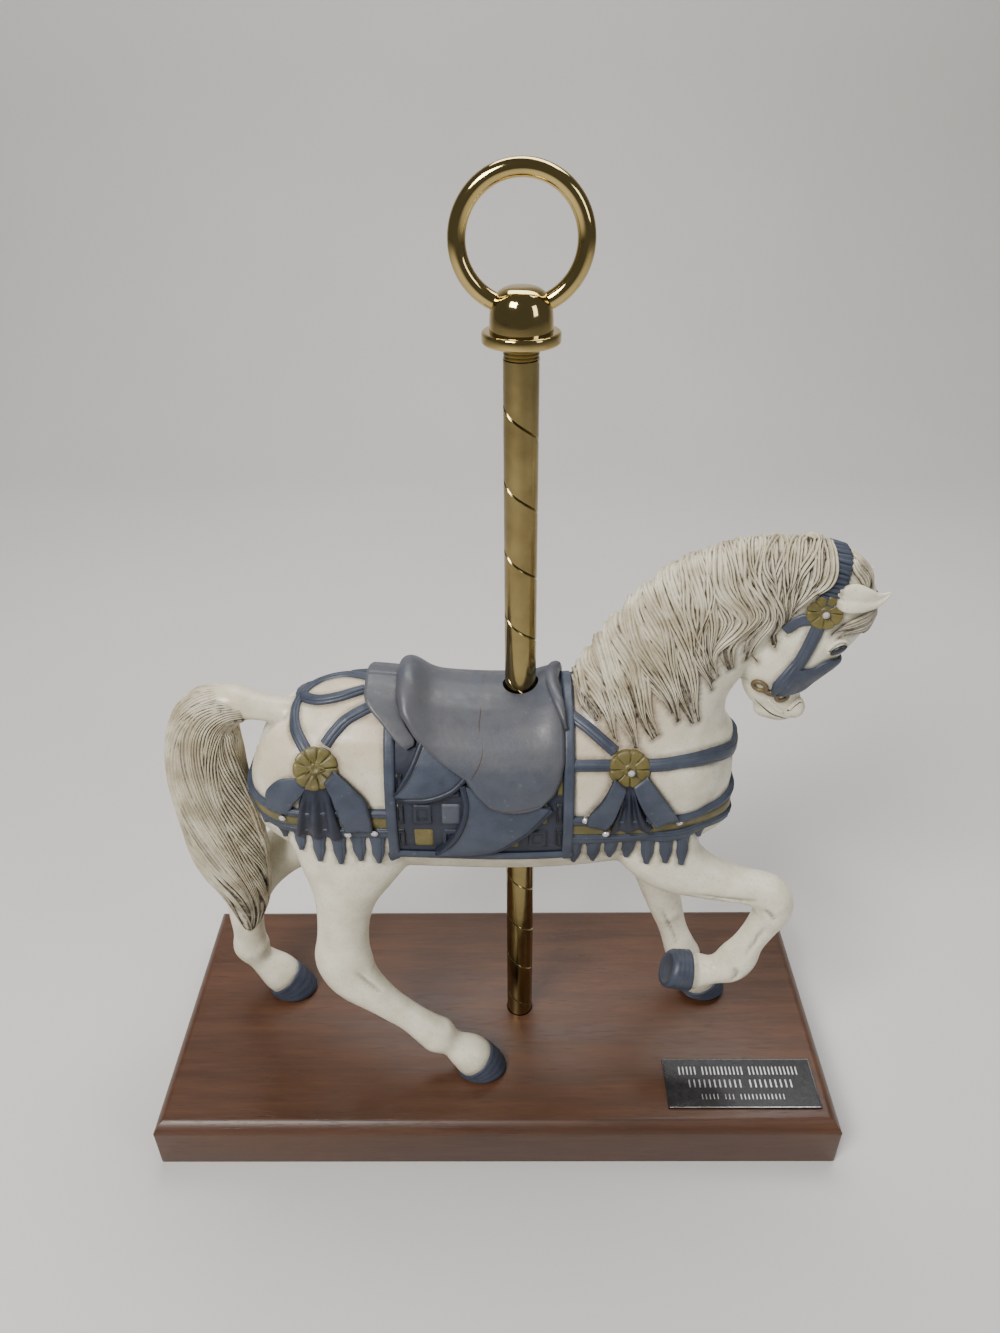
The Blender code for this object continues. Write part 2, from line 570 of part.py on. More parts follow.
def on_mitre(edge):
    """Whether an edge of the base runs up one of its four mitred corners."""
    first, second = [corner.co for corner in edge.verts]
    if first.x * second.x < 0 or first.y * second.y < 0:
        return False
    slack = BASE_CORNER_ROUND / 10
    insets = [(BASE_LENGTH / 2 - abs(place.x), BASE_WIDTH / 2 - abs(place.y)) for place in (first, second)]
    return all(abs(along - across) < slack for along, across in insets)


def build_base(parts, cutters):
    walnut = finish_material("walnut", (0.16, 0.055, 0.025), 0.35)
    mesh = bpy.data.meshes.new("base")
    form = bmesh.new()
    bmesh.ops.create_cube(form, size=1.0)
    bmesh.ops.scale(form, vec=(BASE_LENGTH, BASE_WIDTH, BASE_THICKNESS), verts=form.verts)
    bmesh.ops.translate(form, vec=(0, 0, BASE_THICKNESS / 2), verts=form.verts)
    rim = [edge for edge in form.edges if all(corner.co.z > BASE_THICKNESS * 0.99 for corner in edge.verts)]
    bmesh.ops.bevel(form, geom=rim, offset=BASE_TOP_ROUND, segments=3, profile=0.42, affect="EDGES")
    mitres = [edge for edge in form.edges if on_mitre(edge)]
    bmesh.ops.bevel(form, geom=mitres, offset=BASE_CORNER_ROUND, segments=3, profile=0.5, affect="EDGES")
    form.to_mesh(mesh)
    form.free()
    base = add_object("base", mesh, parts, walnut)
    radius = POLE_RADIUS + POLE_FIT_GAP
    top = BASE_THICKNESS * 1.5
    socket = turned("socket_for_pole", [(0, top), (radius, top), (radius, POLE_SOCKET_FLOOR),
                                        (0, POLE_SOCKET_FLOOR)], cutters, None)
    cut = base.modifiers.new("pole_socket", "BOOLEAN")
    cut.operation = "DIFFERENCE"
    cut.object = socket


def build_nameplate(parts):
    black = finish_material("black_plate", (0.012, 0.012, 0.014), 0.3, 0.4)
    mesh = bpy.data.meshes.new("nameplate")
    form = bmesh.new()
    bmesh.ops.create_cube(form, size=1.0)
    bmesh.ops.scale(form, vec=(PLATE_LENGTH, PLATE_WIDTH, PLATE_THICKNESS), verts=form.verts)
    upright = [edge for edge in form.edges if abs(edge.verts[0].co.z - edge.verts[1].co.z) > PLATE_THICKNESS / 2]
    bmesh.ops.bevel(form, geom=upright, offset=PLATE_CORNER, segments=2, profile=0.5, affect="EDGES")
    form.to_mesh(mesh)
    form.free()
    plate = add_object("nameplate", mesh, parts, black)
    plate.location = (BASE_LENGTH / 2 - PLATE_END_MARGIN - PLATE_LENGTH / 2,
                      -BASE_WIDTH / 2 + PLATE_FRONT_MARGIN + PLATE_WIDTH / 2,
                      BASE_THICKNESS + SEAT_GAP + PLATE_THICKNESS / 2)


def build_pole(parts):
    brass = finish_material("pole_brass", (0.50, 0.36, 0.14), 0.2, 1.0)
    foot = POLE_SOCKET_FLOOR + SEAT_GAP
    top = foot + POLE_LENGTH
    profile = [(0, top), (POLE_RADIUS - THREAD_DEPTH, top)]
    for index in range(THREAD_COUNT):
        crest = top - THREAD_REST - (index + 0.5) * THREAD_PITCH
        profile.append((POLE_RADIUS, crest))
        profile.append((POLE_RADIUS - THREAD_DEPTH, crest - THREAD_PITCH / 2))
    shoulder = profile[-1][1] - THREAD_PITCH / 2
    profile += [(POLE_RADIUS, shoulder), (POLE_RADIUS, foot), (0, foot)]
    turned("pole", profile, parts, brass, sides=24)
    return top


def build_finial(parts, cutters, pole_top):
    """One casting: a flanged bell cap over the pole's threaded end, and a ring on top."""
    polished = finish_material("polished_brass", (0.78, 0.60, 0.28), 0.12, 1.0)
    bore = POLE_RADIUS + POLE_FIT_GAP
    roof = pole_top + POLE_FIT_GAP
    low = roof - CAP_BORE_DEPTH
    bell = bore + CAP_WALL
    flange = bell + FLANGE_OVERHANG
    bell_foot = low + FLANGE_THICKNESS
    crown = roof + CAP_ROOF
    bell_height = crown - bell_foot
    round_over = FLANGE_THICKNESS * 0.22
    power = 2 / CAP_FULLNESS
    dome = []
    for index in range(11):
        turn = math.radians(90 - 90 * index / 10)
        dome.append((bell * math.cos(turn) ** power if index else 0.0,
                     bell_foot + bell_height * max(0.0, math.sin(turn)) ** power))
    profile = dome + [(flange - round_over, bell_foot), (flange, bell_foot - round_over),
                      (flange, low + round_over), (flange - round_over, low), (bore, low), (bore, roof), (0, roof)]
    finial = turned("ring_finial", profile, parts, polished, sides=30)
    centre = crown - RING_SINK + RING_OUTER_DIAMETER / 2
    bpy.ops.mesh.primitive_torus_add(major_segments=36, minor_segments=10,
                                     major_radius=(RING_OUTER_DIAMETER - RING_TUBE_DIAMETER) / 2,
                                     minor_radius=RING_TUBE_DIAMETER / 2, location=(POLE_PLACE, 0, centre),
                                     rotation=(math.radians(90), 0, 0))
    ring = bpy.context.object
    ring.name = "ring_shape"
    for group in list(ring.users_collection):
        group.objects.unlink(ring)
    cutters.objects.link(ring)
    ring.hide_render = True
    ring.display_type = "WIRE"
    join = finial.modifiers.new("ring", "BOOLEAN")
    join.operation = "UNION"
    join.object = ring
    finial.data.shade_smooth()


def build_stones(parts, skin):
    """Small foiled stones glued to the near side, each set square to the skin."""
    glass = finish_material("clear_stone", (0.85, 0.86, 0.88), 0.05)
    for index, place in enumerate(STONES, start=1):
        hit, normal = skin.nearest(spot(*place))
        facing = (normal + Vector((0, -1, 0))).normalized()
        reach = skin.outermost(hit, facing, STONE_DIAMETER * 0.6)
        middle = hit + facing * (reach + STONE_CLEARANCE + STONE_HEIGHT / 2)
        form = bmesh.new()
        bmesh.ops.create_cone(form, cap_ends=True, segments=8, radius1=STONE_DIAMETER / 2,
                              radius2=STONE_DIAMETER * 0.32, depth=STONE_HEIGHT)
        mesh = bpy.data.meshes.new("stone")
        form.to_mesh(mesh)
        form.free()
        stone = add_object(f"stone_{index}", mesh, parts, glass)
        stone.location = middle
        stone.rotation_euler = facing.to_track_quat("Z", "Y").to_euler()


def main():
    clear_scene()
    parts = new_collection("carousel_horse")
    cutters = new_collection("cutters")
    build_base(parts, cutters)
    build_nameplate(parts)
    pole_top = build_pole(parts)
    build_finial(parts, cutters, pole_top)
    skin = build_horse(parts, cutters)
    build_stones(parts, skin)


main()
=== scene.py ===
# %% [markdown]
# # A carousel horse on its stand
# The object is a souvenir: a cast and painted carousel horse on a brass pole, with a walnut base,
# a small black plate and a brass ring on top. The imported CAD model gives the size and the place
# of every piece. It is loaded first and never moved, and the finer pieces are modelled over it.
# Places are in millimetres from the middle of the base's underside, and MM makes them metres.

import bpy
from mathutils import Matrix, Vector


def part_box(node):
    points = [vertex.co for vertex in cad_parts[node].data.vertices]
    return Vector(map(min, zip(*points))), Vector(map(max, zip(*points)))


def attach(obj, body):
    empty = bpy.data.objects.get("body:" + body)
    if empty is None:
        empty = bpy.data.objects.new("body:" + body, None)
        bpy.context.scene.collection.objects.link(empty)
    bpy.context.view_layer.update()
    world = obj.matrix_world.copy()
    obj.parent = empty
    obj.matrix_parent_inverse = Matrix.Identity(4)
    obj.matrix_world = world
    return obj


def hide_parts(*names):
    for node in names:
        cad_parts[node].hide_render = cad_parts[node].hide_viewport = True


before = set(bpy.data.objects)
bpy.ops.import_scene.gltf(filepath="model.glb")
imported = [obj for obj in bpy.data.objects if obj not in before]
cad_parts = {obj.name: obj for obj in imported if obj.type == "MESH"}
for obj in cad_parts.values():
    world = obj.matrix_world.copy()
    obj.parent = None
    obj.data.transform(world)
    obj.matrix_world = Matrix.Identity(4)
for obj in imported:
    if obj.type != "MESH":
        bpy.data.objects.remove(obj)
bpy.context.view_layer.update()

# %% Tools of the workshop
import math

import bmesh
import bpy
import numpy as np
from mathutils import Matrix, Quaternion, Vector
from mathutils.bvhtree import BVHTree
from mathutils.kdtree import KDTree

MM = 0.001


def at(x, y, z):
    return Vector((x, y, z)) * MM


def drop_selection():
    if bpy.context.object and bpy.context.object.mode != "OBJECT":
        bpy.ops.object.mode_set(mode="OBJECT")
    bpy.ops.object.select_all(action="DESELECT")


def take(piece):
    drop_selection()
    piece.select_set(True)
    bpy.context.view_layer.objects.active = piece


def started(name):
    """Names the primitive that was just added and puts its place into its mesh."""
    piece = bpy.context.object
    piece.name = name
    piece.data.name = name
    bpy.ops.object.transform_apply(location=True, rotation=True, scale=True)
    return piece


def apply_modifier(piece, kind, **settings):
    take(piece)
    step = piece.modifiers.new(kind.lower(), kind)
    for key, value in settings.items():
        setattr(step, key, value)
    bpy.ops.object.modifier_apply(modifier=step.name)


def join(name, pieces):
    take(pieces[0])
    for piece in pieces[1:]:
        piece.select_set(True)
    if len(pieces) > 1:
        bpy.ops.object.join()
    pieces[0].name = name
    pieces[0].data.name = name
    return pieces[0]


def face_outward(piece):
    take(piece)
    bpy.ops.object.mode_set(mode="EDIT")
    bpy.ops.mesh.select_all(action="SELECT")
    bpy.ops.mesh.normals_make_consistent(inside=False)
    bpy.ops.object.mode_set(mode="OBJECT")


def keep(piece, node, material, smooth_angle=180):
    """Smooths a finished piece, gives it its finish, hangs it on the root body and hides the CAD node it
    stands for.
    """
    take(piece)
    if smooth_angle >= 180:
        bpy.ops.object.shade_smooth()
    else:
        bpy.ops.object.shade_smooth_by_angle(angle=math.radians(smooth_angle))
    piece.data.materials.clear()
    piece.data.materials.append(material)
    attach(piece, "root")
    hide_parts(node)
    count = sum(len(face.vertices) - 2 for face in piece.data.polygons)
    print(f"{piece.name}: {count} triangles")


def keep_painted(material, smooth_angle, *pieces):
    """Keeps pieces of the horse that share one paint, each standing for the CAD node horse."""
    for piece in pieces:
        keep(piece, "horse", material, smooth_angle)


def flowing(stations, steps):
    """Stations joined by a Catmull-Rom curve, each a tuple of equal length."""
    last = len(stations) - 1
    path = []
    for index in range(last):
        before, start = stations[max(index - 1, 0)], stations[index]
        end, after = stations[index + 1], stations[min(index + 2, last)]
        for part in range(steps):
            t = part / steps
            path.append(tuple(
                0.5 * (2 * b + (c - a) * t + (2 * a - 5 * b + 4 * c - d) * t * t
                       + (3 * b - a - 3 * c + d) * t ** 3)
                for a, b, c, d in zip(before, start, end, after)))
    path.append(tuple(stations[last]))
    return path


def evenly(route, count):
    """A smooth route cut into an even number of steps by its length."""
    path = np.array(flowing(route, 12), dtype=float)
    reach = np.concatenate([[0], np.cumsum(np.linalg.norm(np.diff(path, axis=0), axis=1))])
    wanted = np.linspace(0, reach[-1], count)
    return np.stack([np.interp(wanted, reach, path[:, k]) for k in range(path.shape[1])], axis=1)


def soft_step(low, high, value):
    t = min(1.0, max(0.0, (value - low) / (high - low)))
    return t * t * (3 - 2 * t)


# %% [markdown]
# ## Paint, metal, wood and glass
# The casting is painted in flat colours and then antiqued: a thin brown wash is wiped over it, and
# stays in every groove and along every strap. Each painted piece therefore carries a "wash_and_shade"
# value on its corners, worked out from how deep a corner lies below its neighbours, and the paint
# darkens with it. That darkening is partly the brown wash and partly painted shade, in the hollows and
# beside the pieces that lie on it. The rest of each finish is made from noise on the object's own
# coordinates.

# %% Node helpers
def new_finish(name, roughness, metallic=0.0, coat=0.0, coat_roughness=0.1):
    material = bpy.data.materials.new(name)
    material.use_nodes = True
    shader = material.node_tree.nodes["Principled BSDF"]
    shader.inputs["Roughness"].default_value = roughness
    shader.inputs["Metallic"].default_value = metallic
    shader.inputs["Coat Weight"].default_value = coat
    shader.inputs["Coat Roughness"].default_value = coat_roughness
    return material, material.node_tree, shader


def place_nodes(tree, scale=(1, 1, 1)):
    where = tree.nodes.new("ShaderNodeTexCoord")
    spread = tree.nodes.new("ShaderNodeMapping")
    spread.inputs["Scale"].default_value = scale
    tree.links.new(where.outputs["Object"], spread.inputs["Vector"])
    return spread.outputs["Vector"]


def speckle(tree, where, scale, detail=3.0, roughness=0.55, distortion=0.0):
    node = tree.nodes.new("ShaderNodeTexNoise")
    node.inputs["Scale"].default_value = scale
    node.inputs["Detail"].default_value = detail
    node.inputs["Roughness"].default_value = roughness
    node.inputs["Distortion"].default_value = distortion
    tree.links.new(where, node.inputs["Vector"])
    return node.outputs["Fac"]


def remap(tree, value, low, high, to_low=0.0, to_high=1.0):
    node = tree.nodes.new("ShaderNodeMapRange")
    node.inputs["From Min"].default_value = low
    node.inputs["From Max"].default_value = high
    node.inputs["To Min"].default_value = to_low
    node.inputs["To Max"].default_value = to_high
    tree.links.new(value, node.inputs["Value"])
    return node.outputs["Result"]


def mixed(tree, share, under, over):
    node = tree.nodes.new("ShaderNodeMix")
    node.data_type = "RGBA"
    for socket, value in ((node.inputs[0], share), (node.inputs[6], under), (node.inputs[7], over)):
        if isinstance(value, bpy.types.NodeSocket):
            tree.links.new(value, socket)
        elif isinstance(value, tuple):
            socket.default_value = (*value, 1.0)
        else:
            socket.default_value = value
    return node.outputs[2]


def combined(tree, operation, first, second):
    node = tree.nodes.new("ShaderNodeMath")
    node.operation = operation
    for socket, value in zip(node.inputs, (first, second)):
        if isinstance(value, bpy.types.NodeSocket):
            tree.links.new(value, socket)
        else:
            socket.default_value = value
    return node.outputs[0]


def carried(tree, name):
    node = tree.nodes.new("ShaderNodeAttribute")
    node.attribute_name = name
    return node.outputs["Fac"]


def roughened(tree, shader, height, distance, strength=1.0):
    node = tree.nodes.new("ShaderNodeBump")
    node.inputs["Strength"].default_value = strength
    node.inputs["Distance"].default_value = distance
    tree.links.new(height, node.inputs["Height"])
    tree.links.new(node.outputs["Normal"], shader.inputs["Normal"])


# %% Antiqued paint
# The wash colour darkens the antiquing and also paints the shade in hollows and beside other pieces.
WASH_AND_SHADE_BROWN = (0.085, 0.048, 0.026)
BLUSH_HEIGHTS = (0.165, 0.215)
BLUSH_FRONT = (0.060, 0.100)


def antiqued_paint(name, light, shade, roughness, wash_and_shade=WASH_AND_SHADE_BROWN, freckles=0.25, wear=None, blush=None):
    """Two tones, freckles, worn spots and the wash, which also carries painted shade. A blush tints the back
    and fades towards the neck.
    """
    material, tree, shader = new_finish(name, roughness)
    where = place_nodes(tree)
    colour = mixed(tree, remap(tree, speckle(tree, where, 90.0), 0.35, 0.65), light, shade)
    if blush:
        height = tree.nodes.new("ShaderNodeSeparateXYZ")
        tree.links.new(where, height.inputs[0])
        raised = combined(tree, "MULTIPLY", remap(tree, height.outputs["Z"], *BLUSH_HEIGHTS, 0.0, 0.8),
                          remap(tree, height.outputs["X"], *BLUSH_FRONT, 1.0, 0.0))
        patch = remap(tree, speckle(tree, where, 26.0), 0.3, 0.6)
        colour = mixed(tree, combined(tree, "MULTIPLY", raised, patch), colour, blush)
    fleck = remap(tree, speckle(tree, where, 900.0, detail=2.0), 0.56, 0.72, 0.0, freckles)
    colour = mixed(tree, fleck, colour, tuple(0.5 * a + 0.5 * b for a, b in zip(shade, wash_and_shade)))
    if wear:
        bare = remap(tree, speckle(tree, where, 330.0, detail=4.0), 0.66, 0.74, 0.0, 0.55)
        colour = mixed(tree, bare, colour, wear)
    # The wash value darkens the paint: brown antiquing and painted shade in the hollows and beside other
    # pieces.
    streaks = remap(tree, speckle(tree, where, 500.0), 0.25, 0.6, 0.55, 1.0)
    wash_and_shade_share = combined(tree, "MULTIPLY", carried(tree, "wash_and_shade"), streaks)
    colour = mixed(tree, wash_and_shade_share, colour, wash_and_shade)
    tree.links.new(colour, shader.inputs["Base Color"])
    tree.links.new(remap(tree, speckle(tree, where, 240.0), 0.3, 0.7, roughness - 0.07, roughness + 0.1),
                   shader.inputs["Roughness"])
    roughened(tree, shader, speckle(tree, where, 520.0, detail=4.0), 0.00022, 0.35)
    return material


CREAM = antiqued_paint("cream_paint", (0.77, 0.735, 0.595), (0.63, 0.585, 0.445), 0.34, freckles=0.34,
                       blush=(0.52, 0.425, 0.300), wash_and_shade=(0.060, 0.034, 0.018))
HAIR = antiqued_paint("hair_paint", (0.64, 0.59, 0.455), (0.40, 0.345, 0.235), 0.42, freckles=0.35,
                      wash_and_shade=(0.026, 0.015, 0.008))
SLATE = antiqued_paint("slate_paint", (0.048, 0.060, 0.088), (0.032, 0.041, 0.064), 0.48, freckles=0.25,
                       wash_and_shade=(0.008, 0.009, 0.012), wear=(0.11, 0.125, 0.15))
SEAT = antiqued_paint("seat_paint", (0.052, 0.064, 0.094), (0.040, 0.050, 0.076), 0.45, freckles=0.2,
                      wash_and_shade=(0.014, 0.013, 0.014), wear=(0.11, 0.125, 0.15), blush=(0.076, 0.076, 0.082))
NAVY = antiqued_paint("navy_paint", (0.017, 0.022, 0.040), (0.010, 0.014, 0.027), 0.48, freckles=0.2,
                      wash_and_shade=(0.004, 0.004, 0.006), wear=(0.055, 0.066, 0.090))
GOLD = antiqued_paint("olive_gold_paint", (0.140, 0.116, 0.032), (0.090, 0.074, 0.021), 0.44, freckles=0.35,
                      wash_and_shade=(0.018, 0.011, 0.005), wear=(0.19, 0.165, 0.065))
GILT = antiqued_paint("worn_gilt_paint", (0.17, 0.125, 0.060), (0.095, 0.063, 0.030), 0.42, freckles=0.4,
                      wash_and_shade=(0.025, 0.015, 0.008))
HOOF = antiqued_paint("hoof_paint", (0.046, 0.057, 0.086), (0.030, 0.038, 0.060), 0.46, freckles=0.25,
                      wash_and_shade=(0.028, 0.018, 0.013), wear=(0.10, 0.095, 0.09))
DARK = antiqued_paint("shadow_paint", (0.020, 0.021, 0.030), (0.012, 0.012, 0.017), 0.35, freckles=0.0)
print("painted finishes:", [item.name for item in bpy.data.materials if item.name.endswith("_paint")])


# %% Brass, walnut, plate and glass
def brass(name, colour, tarnish, roughness, staining=0.6, bump=0.0):
    material, tree, shader = new_finish(name, roughness, metallic=1.0)
    where = place_nodes(tree)
    stains = remap(tree, speckle(tree, where, 60.0, detail=5.0), 0.42, 0.72, 0.0, staining)
    worn = mixed(tree, stains, colour, tarnish)
    # The wash value darkens the pole's groove and the roots of its thread: tarnish and painted shade.
    worn = mixed(tree, carried(tree, "wash_and_shade"), worn, (0.045, 0.028, 0.012))
    tree.links.new(worn, shader.inputs["Base Color"])
    smears = speckle(tree, where, 150.0, detail=5.0)
    tree.links.new(remap(tree, smears, 0.3, 0.75, roughness, roughness * 1.9), shader.inputs["Roughness"])
    if bump:
        roughened(tree, shader, speckle(tree, place_nodes(tree, (1, 1, 0.2)), 1400.0), 0.00003, bump)
    return material


POLISHED = brass("polished_brass", (0.52, 0.40, 0.165), (0.36, 0.26, 0.10), 0.055, staining=0.4)
POLE_BRASS = brass("pole_brass", (0.30, 0.235, 0.100), (0.15, 0.105, 0.042), 0.12, staining=0.7, bump=0.2)


def walnut_wood():
    material, tree, shader = new_finish("walnut", 0.42, coat=0.12, coat_roughness=0.25)
    along = place_nodes(tree, (1.0, 9.0, 9.0))
    rings = tree.nodes.new("ShaderNodeTexWave")
    rings.wave_type = "BANDS"
    rings.bands_direction = "Y"
    for key, value in (("Scale", 1.6), ("Distortion", 7.0), ("Detail", 4.0), ("Detail Scale", 1.3)):
        rings.inputs[key].default_value = value
    tree.links.new(place_nodes(tree, (2.2, 13.0, 13.0)), rings.inputs["Vector"])
    broad = speckle(tree, along, 14.0, detail=5.0, distortion=0.6)
    colour = mixed(tree, remap(tree, broad, 0.32, 0.68), (0.052, 0.0195, 0.0085), (0.080, 0.031, 0.0125))
    banding = remap(tree, rings.outputs["Fac"], 0.15, 0.95, 0.0, 0.35)
    colour = mixed(tree, banding, colour, (0.040, 0.016, 0.008))
    fibres = speckle(tree, place_nodes(tree, (4, 60, 60)), 9.0, detail=4.0)
    figure = remap(tree, fibres, 0.48, 0.75, 0.0, 0.45)
    colour = mixed(tree, figure, colour, (0.108, 0.044, 0.0175))
    dashes = speckle(tree, place_nodes(tree, (12, 260, 260)), 8.0, detail=2.0)
    pores = remap(tree, dashes, 0.60, 0.70, 0.0, 0.75)
    colour = mixed(tree, pores, colour, (0.030, 0.011, 0.007))
    tree.links.new(colour, shader.inputs["Base Color"])
    tree.links.new(remap(tree, broad, 0.3, 0.7, 0.38, 0.50), shader.inputs["Roughness"])
    roughened(tree, shader, pores, -0.00012, 0.5)
    return material


def simple_finish(name, colour, other, roughness, metallic=0.0, scale=400.0):
    material, tree, shader = new_finish(name, roughness, metallic)
    where = place_nodes(tree)
    spots = remap(tree, speckle(tree, where, scale, detail=4.0), 0.4, 0.7)
    tree.links.new(mixed(tree, spots, colour, other), shader.inputs["Base Color"])
    roughened(tree, shader, speckle(tree, where, scale * 2), 0.00003, 0.3)
    return material


WALNUT = walnut_wood()
PLATE_BLACK = simple_finish("plate_black", (0.012, 0.012, 0.014), (0.022, 0.022, 0.024), 0.26, 0.0)
PLATE_SILVER = simple_finish("plate_silver", (0.62, 0.62, 0.63), (0.45, 0.45, 0.47), 0.30, 1.0)


def clear_glass():
    material, tree, shader = new_finish("clear_stone", 0.03)
    shader.inputs["Transmission Weight"].default_value = 0.55
    shader.inputs["IOR"].default_value = 1.6
    glint = remap(tree, speckle(tree, place_nodes(tree), 1800.0, detail=0.0), 0.35, 0.65)
    tree.links.new(mixed(tree, glint, (0.93, 0.91, 0.93), (0.86, 0.74, 0.78)), shader.inputs["Base Color"])
    return material


STONE_GLASS = clear_glass()


# %% [markdown]
# ### The wiped wash and the painted shade
# A hollow is where a corner lies below the average of its neighbourhood, seen along its normal. That
# depth, divided by the depth at which the wash is full, gives the value, which paints the brown wash
# and the shade of the hollow together. Where straps lie on the body the wash also gathers along their
# edges, so a corner takes more of it the closer it is to them; this band is antiquing and a painted
# shadow of the piece beside it. In hair the crests of the strands round a corner are the measure
# instead, because locks cross there, and a lock lying under others takes painted shade.

# %% Work out the wash and the painted shade
# How dark the band beside another piece gets: antiquing and its painted shadow.
EDGE_WASH_AND_SHADE = 0.85
CRESTS, HOLLOW_LEFT_BARE = 12, 0.08


def mesh_places(piece):
    places = np.empty(len(piece.data.vertices) * 3)
    piece.data.vertices.foreach_get("co", places)
    return places.reshape(-1, 3)


def search_tree(places):
    tree = KDTree(len(places))
    for index, place in enumerate(places):
        tree.insert(place, index)
    tree.balance()
    return tree


def store_wash_and_shade(piece, wash_and_shade):
    layer = piece.data.attributes.new("wash_and_shade", "FLOAT", "POINT")
    layer.data.foreach_set("value", np.clip(wash_and_shade, 0, 1).astype(np.float32))


def lay_wash_and_shade(piece, full_depth, spread=3, strength=1.0, beside=(), reach=1.3, least=0.0):
    """Brown wash and painted shade in a surface's own hollows and beside the pieces that lie on it."""
    mesh = piece.data
    places = mesh_places(piece)
    normals = np.empty(len(places) * 3)
    mesh.vertices.foreach_get("normal", normals)
    normals = normals.reshape(-1, 3)
    edges = np.empty(len(mesh.edges) * 2, dtype=np.int64)
    mesh.edges.foreach_get("vertices", edges)
    first, second = edges.reshape(-1, 2).T
    degree = np.bincount(np.concatenate([first, second]), minlength=len(places)).clip(1)[:, None]
    calm = places.copy()
    for _ in range(spread):
        total = np.zeros_like(calm)
        np.add.at(total, first, calm[second])
        np.add.at(total, second, calm[first])
        calm = 0.5 * calm + 0.5 * total / degree
    depth = np.einsum("ij,ij->i", calm - places, normals)
    wash_and_shade = np.clip(depth / (full_depth * MM), 0, 1) * strength
    if beside:
        tree = search_tree(np.concatenate([mesh_places(other) for other in beside]))
        gap = np.array([tree.find(place)[2] for place in places])
        wash_and_shade = np.maximum(wash_and_shade, EDGE_WASH_AND_SHADE * np.clip(1 - gap / (reach * MM), 0, 1) ** 0.8)
    store_wash_and_shade(piece, wash_and_shade + least)


def gather_wash_and_shade(piece, surface, radius, full_depth):
    """Wash and painted shade where a corner stands lower over the surface than the crests round it, as under
    crossing locks.
    """
    places = mesh_places(piece)
    heights = np.array([surface.find_nearest(place)[3] for place in places])
    tree = search_tree(places)
    crests = []
    for place in places:
        found = [match[1] for match in tree.find_range(place, radius * MM)]
        crests.append(np.mean(np.sort(heights[found])[-CRESTS:]))
    wash_and_shade = np.clip((np.array(crests) - heights) / (full_depth * MM) - HOLLOW_LEFT_BARE, 0, 1) ** 0.7
    store_wash_and_shade(piece, wash_and_shade)
    print(f"{piece.name}: {100 * np.mean(wash_and_shade > 0.5):.0f} % of its corners lie in dark wash")


# %% [markdown]
# ## The walnut base
# A board with a rounded shoulder all round its top and mitred corners. By hand it is a box whose top
# rim is bevelled first, then the four upright corners, and the pole's socket is bored into it.

# %% Base board
BASE_LENGTH, BASE_WIDTH, BASE_THICKNESS = 324 * MM, 138 * MM, 28 * MM
BASE_TOP_ROUND, BASE_CORNER_BEVEL = 6.2 * MM, 1.2 * MM
POLE_PLACE, POLE_RADIUS, POLE_PLAY = 11.6 * MM, 6.35 * MM, 0.3 * MM
SOCKET_FLOOR, DRILL_TOP, DRILL_SIDES = 16 * MM, 40 * MM, 64


def bored(piece, radius, low, high):
    """Cuts a round hole on the pole's axis."""
    drop_selection()
    bpy.ops.mesh.primitive_cylinder_add(vertices=DRILL_SIDES, radius=radius, depth=high - low,
                                        location=(POLE_PLACE, 0, (low + high) / 2))
    drill = bpy.context.object
    apply_modifier(piece, "BOOLEAN", operation="DIFFERENCE", object=drill, solver="EXACT")
    bpy.data.objects.remove(drill, do_unlink=True)


def base_board():
    drop_selection()
    bpy.ops.mesh.primitive_cube_add(size=1, location=(0, 0, BASE_THICKNESS / 2),
                                    scale=(BASE_LENGTH, BASE_WIDTH, BASE_THICKNESS))
    board = started("walnut_base")
    bpy.ops.object.mode_set(mode="EDIT")
    form = bmesh.from_edit_mesh(board.data)
    bpy.ops.mesh.select_all(action="DESELECT")
    for edge in form.edges:
        edge.select = all(corner.co.z > BASE_THICKNESS * 0.99 for corner in edge.verts)
    form.select_flush_mode()
    bpy.ops.mesh.bevel(offset=BASE_TOP_ROUND, segments=8, profile=0.42, affect="EDGES")
    form = bmesh.from_edit_mesh(board.data)
    bpy.ops.mesh.select_all(action="DESELECT")
    for edge in form.edges:
        insets = [(BASE_LENGTH / 2 - abs(c.co.x), BASE_WIDTH / 2 - abs(c.co.y)) for c in edge.verts]
        same_side = all(edge.verts[0].co[k] * edge.verts[1].co[k] > 0 for k in (0, 1))
        edge.select = same_side and all(abs(a - b) < 0.1 * MM for a, b in insets)
    form.select_flush_mode()
    bpy.ops.mesh.bevel(offset=BASE_CORNER_BEVEL, segments=4, profile=0.5, affect="EDGES")
    bpy.ops.object.mode_set(mode="OBJECT")
    bored(board, POLE_RADIUS + POLE_PLAY, SOCKET_FLOOR, DRILL_TOP)
    return board


keep(base_board(), "base", WALNUT, 22)

# %% [markdown]
# ## The black plate
# A thin black plate with a shallow groove inside its edge and a fine silver line along its front.
# Between them stand three rows of plain short strokes that spell nothing. The face is inset three
# times for the groove. One stroke is modelled and copied along each row, and at last it is itself
# drawn out into the line.

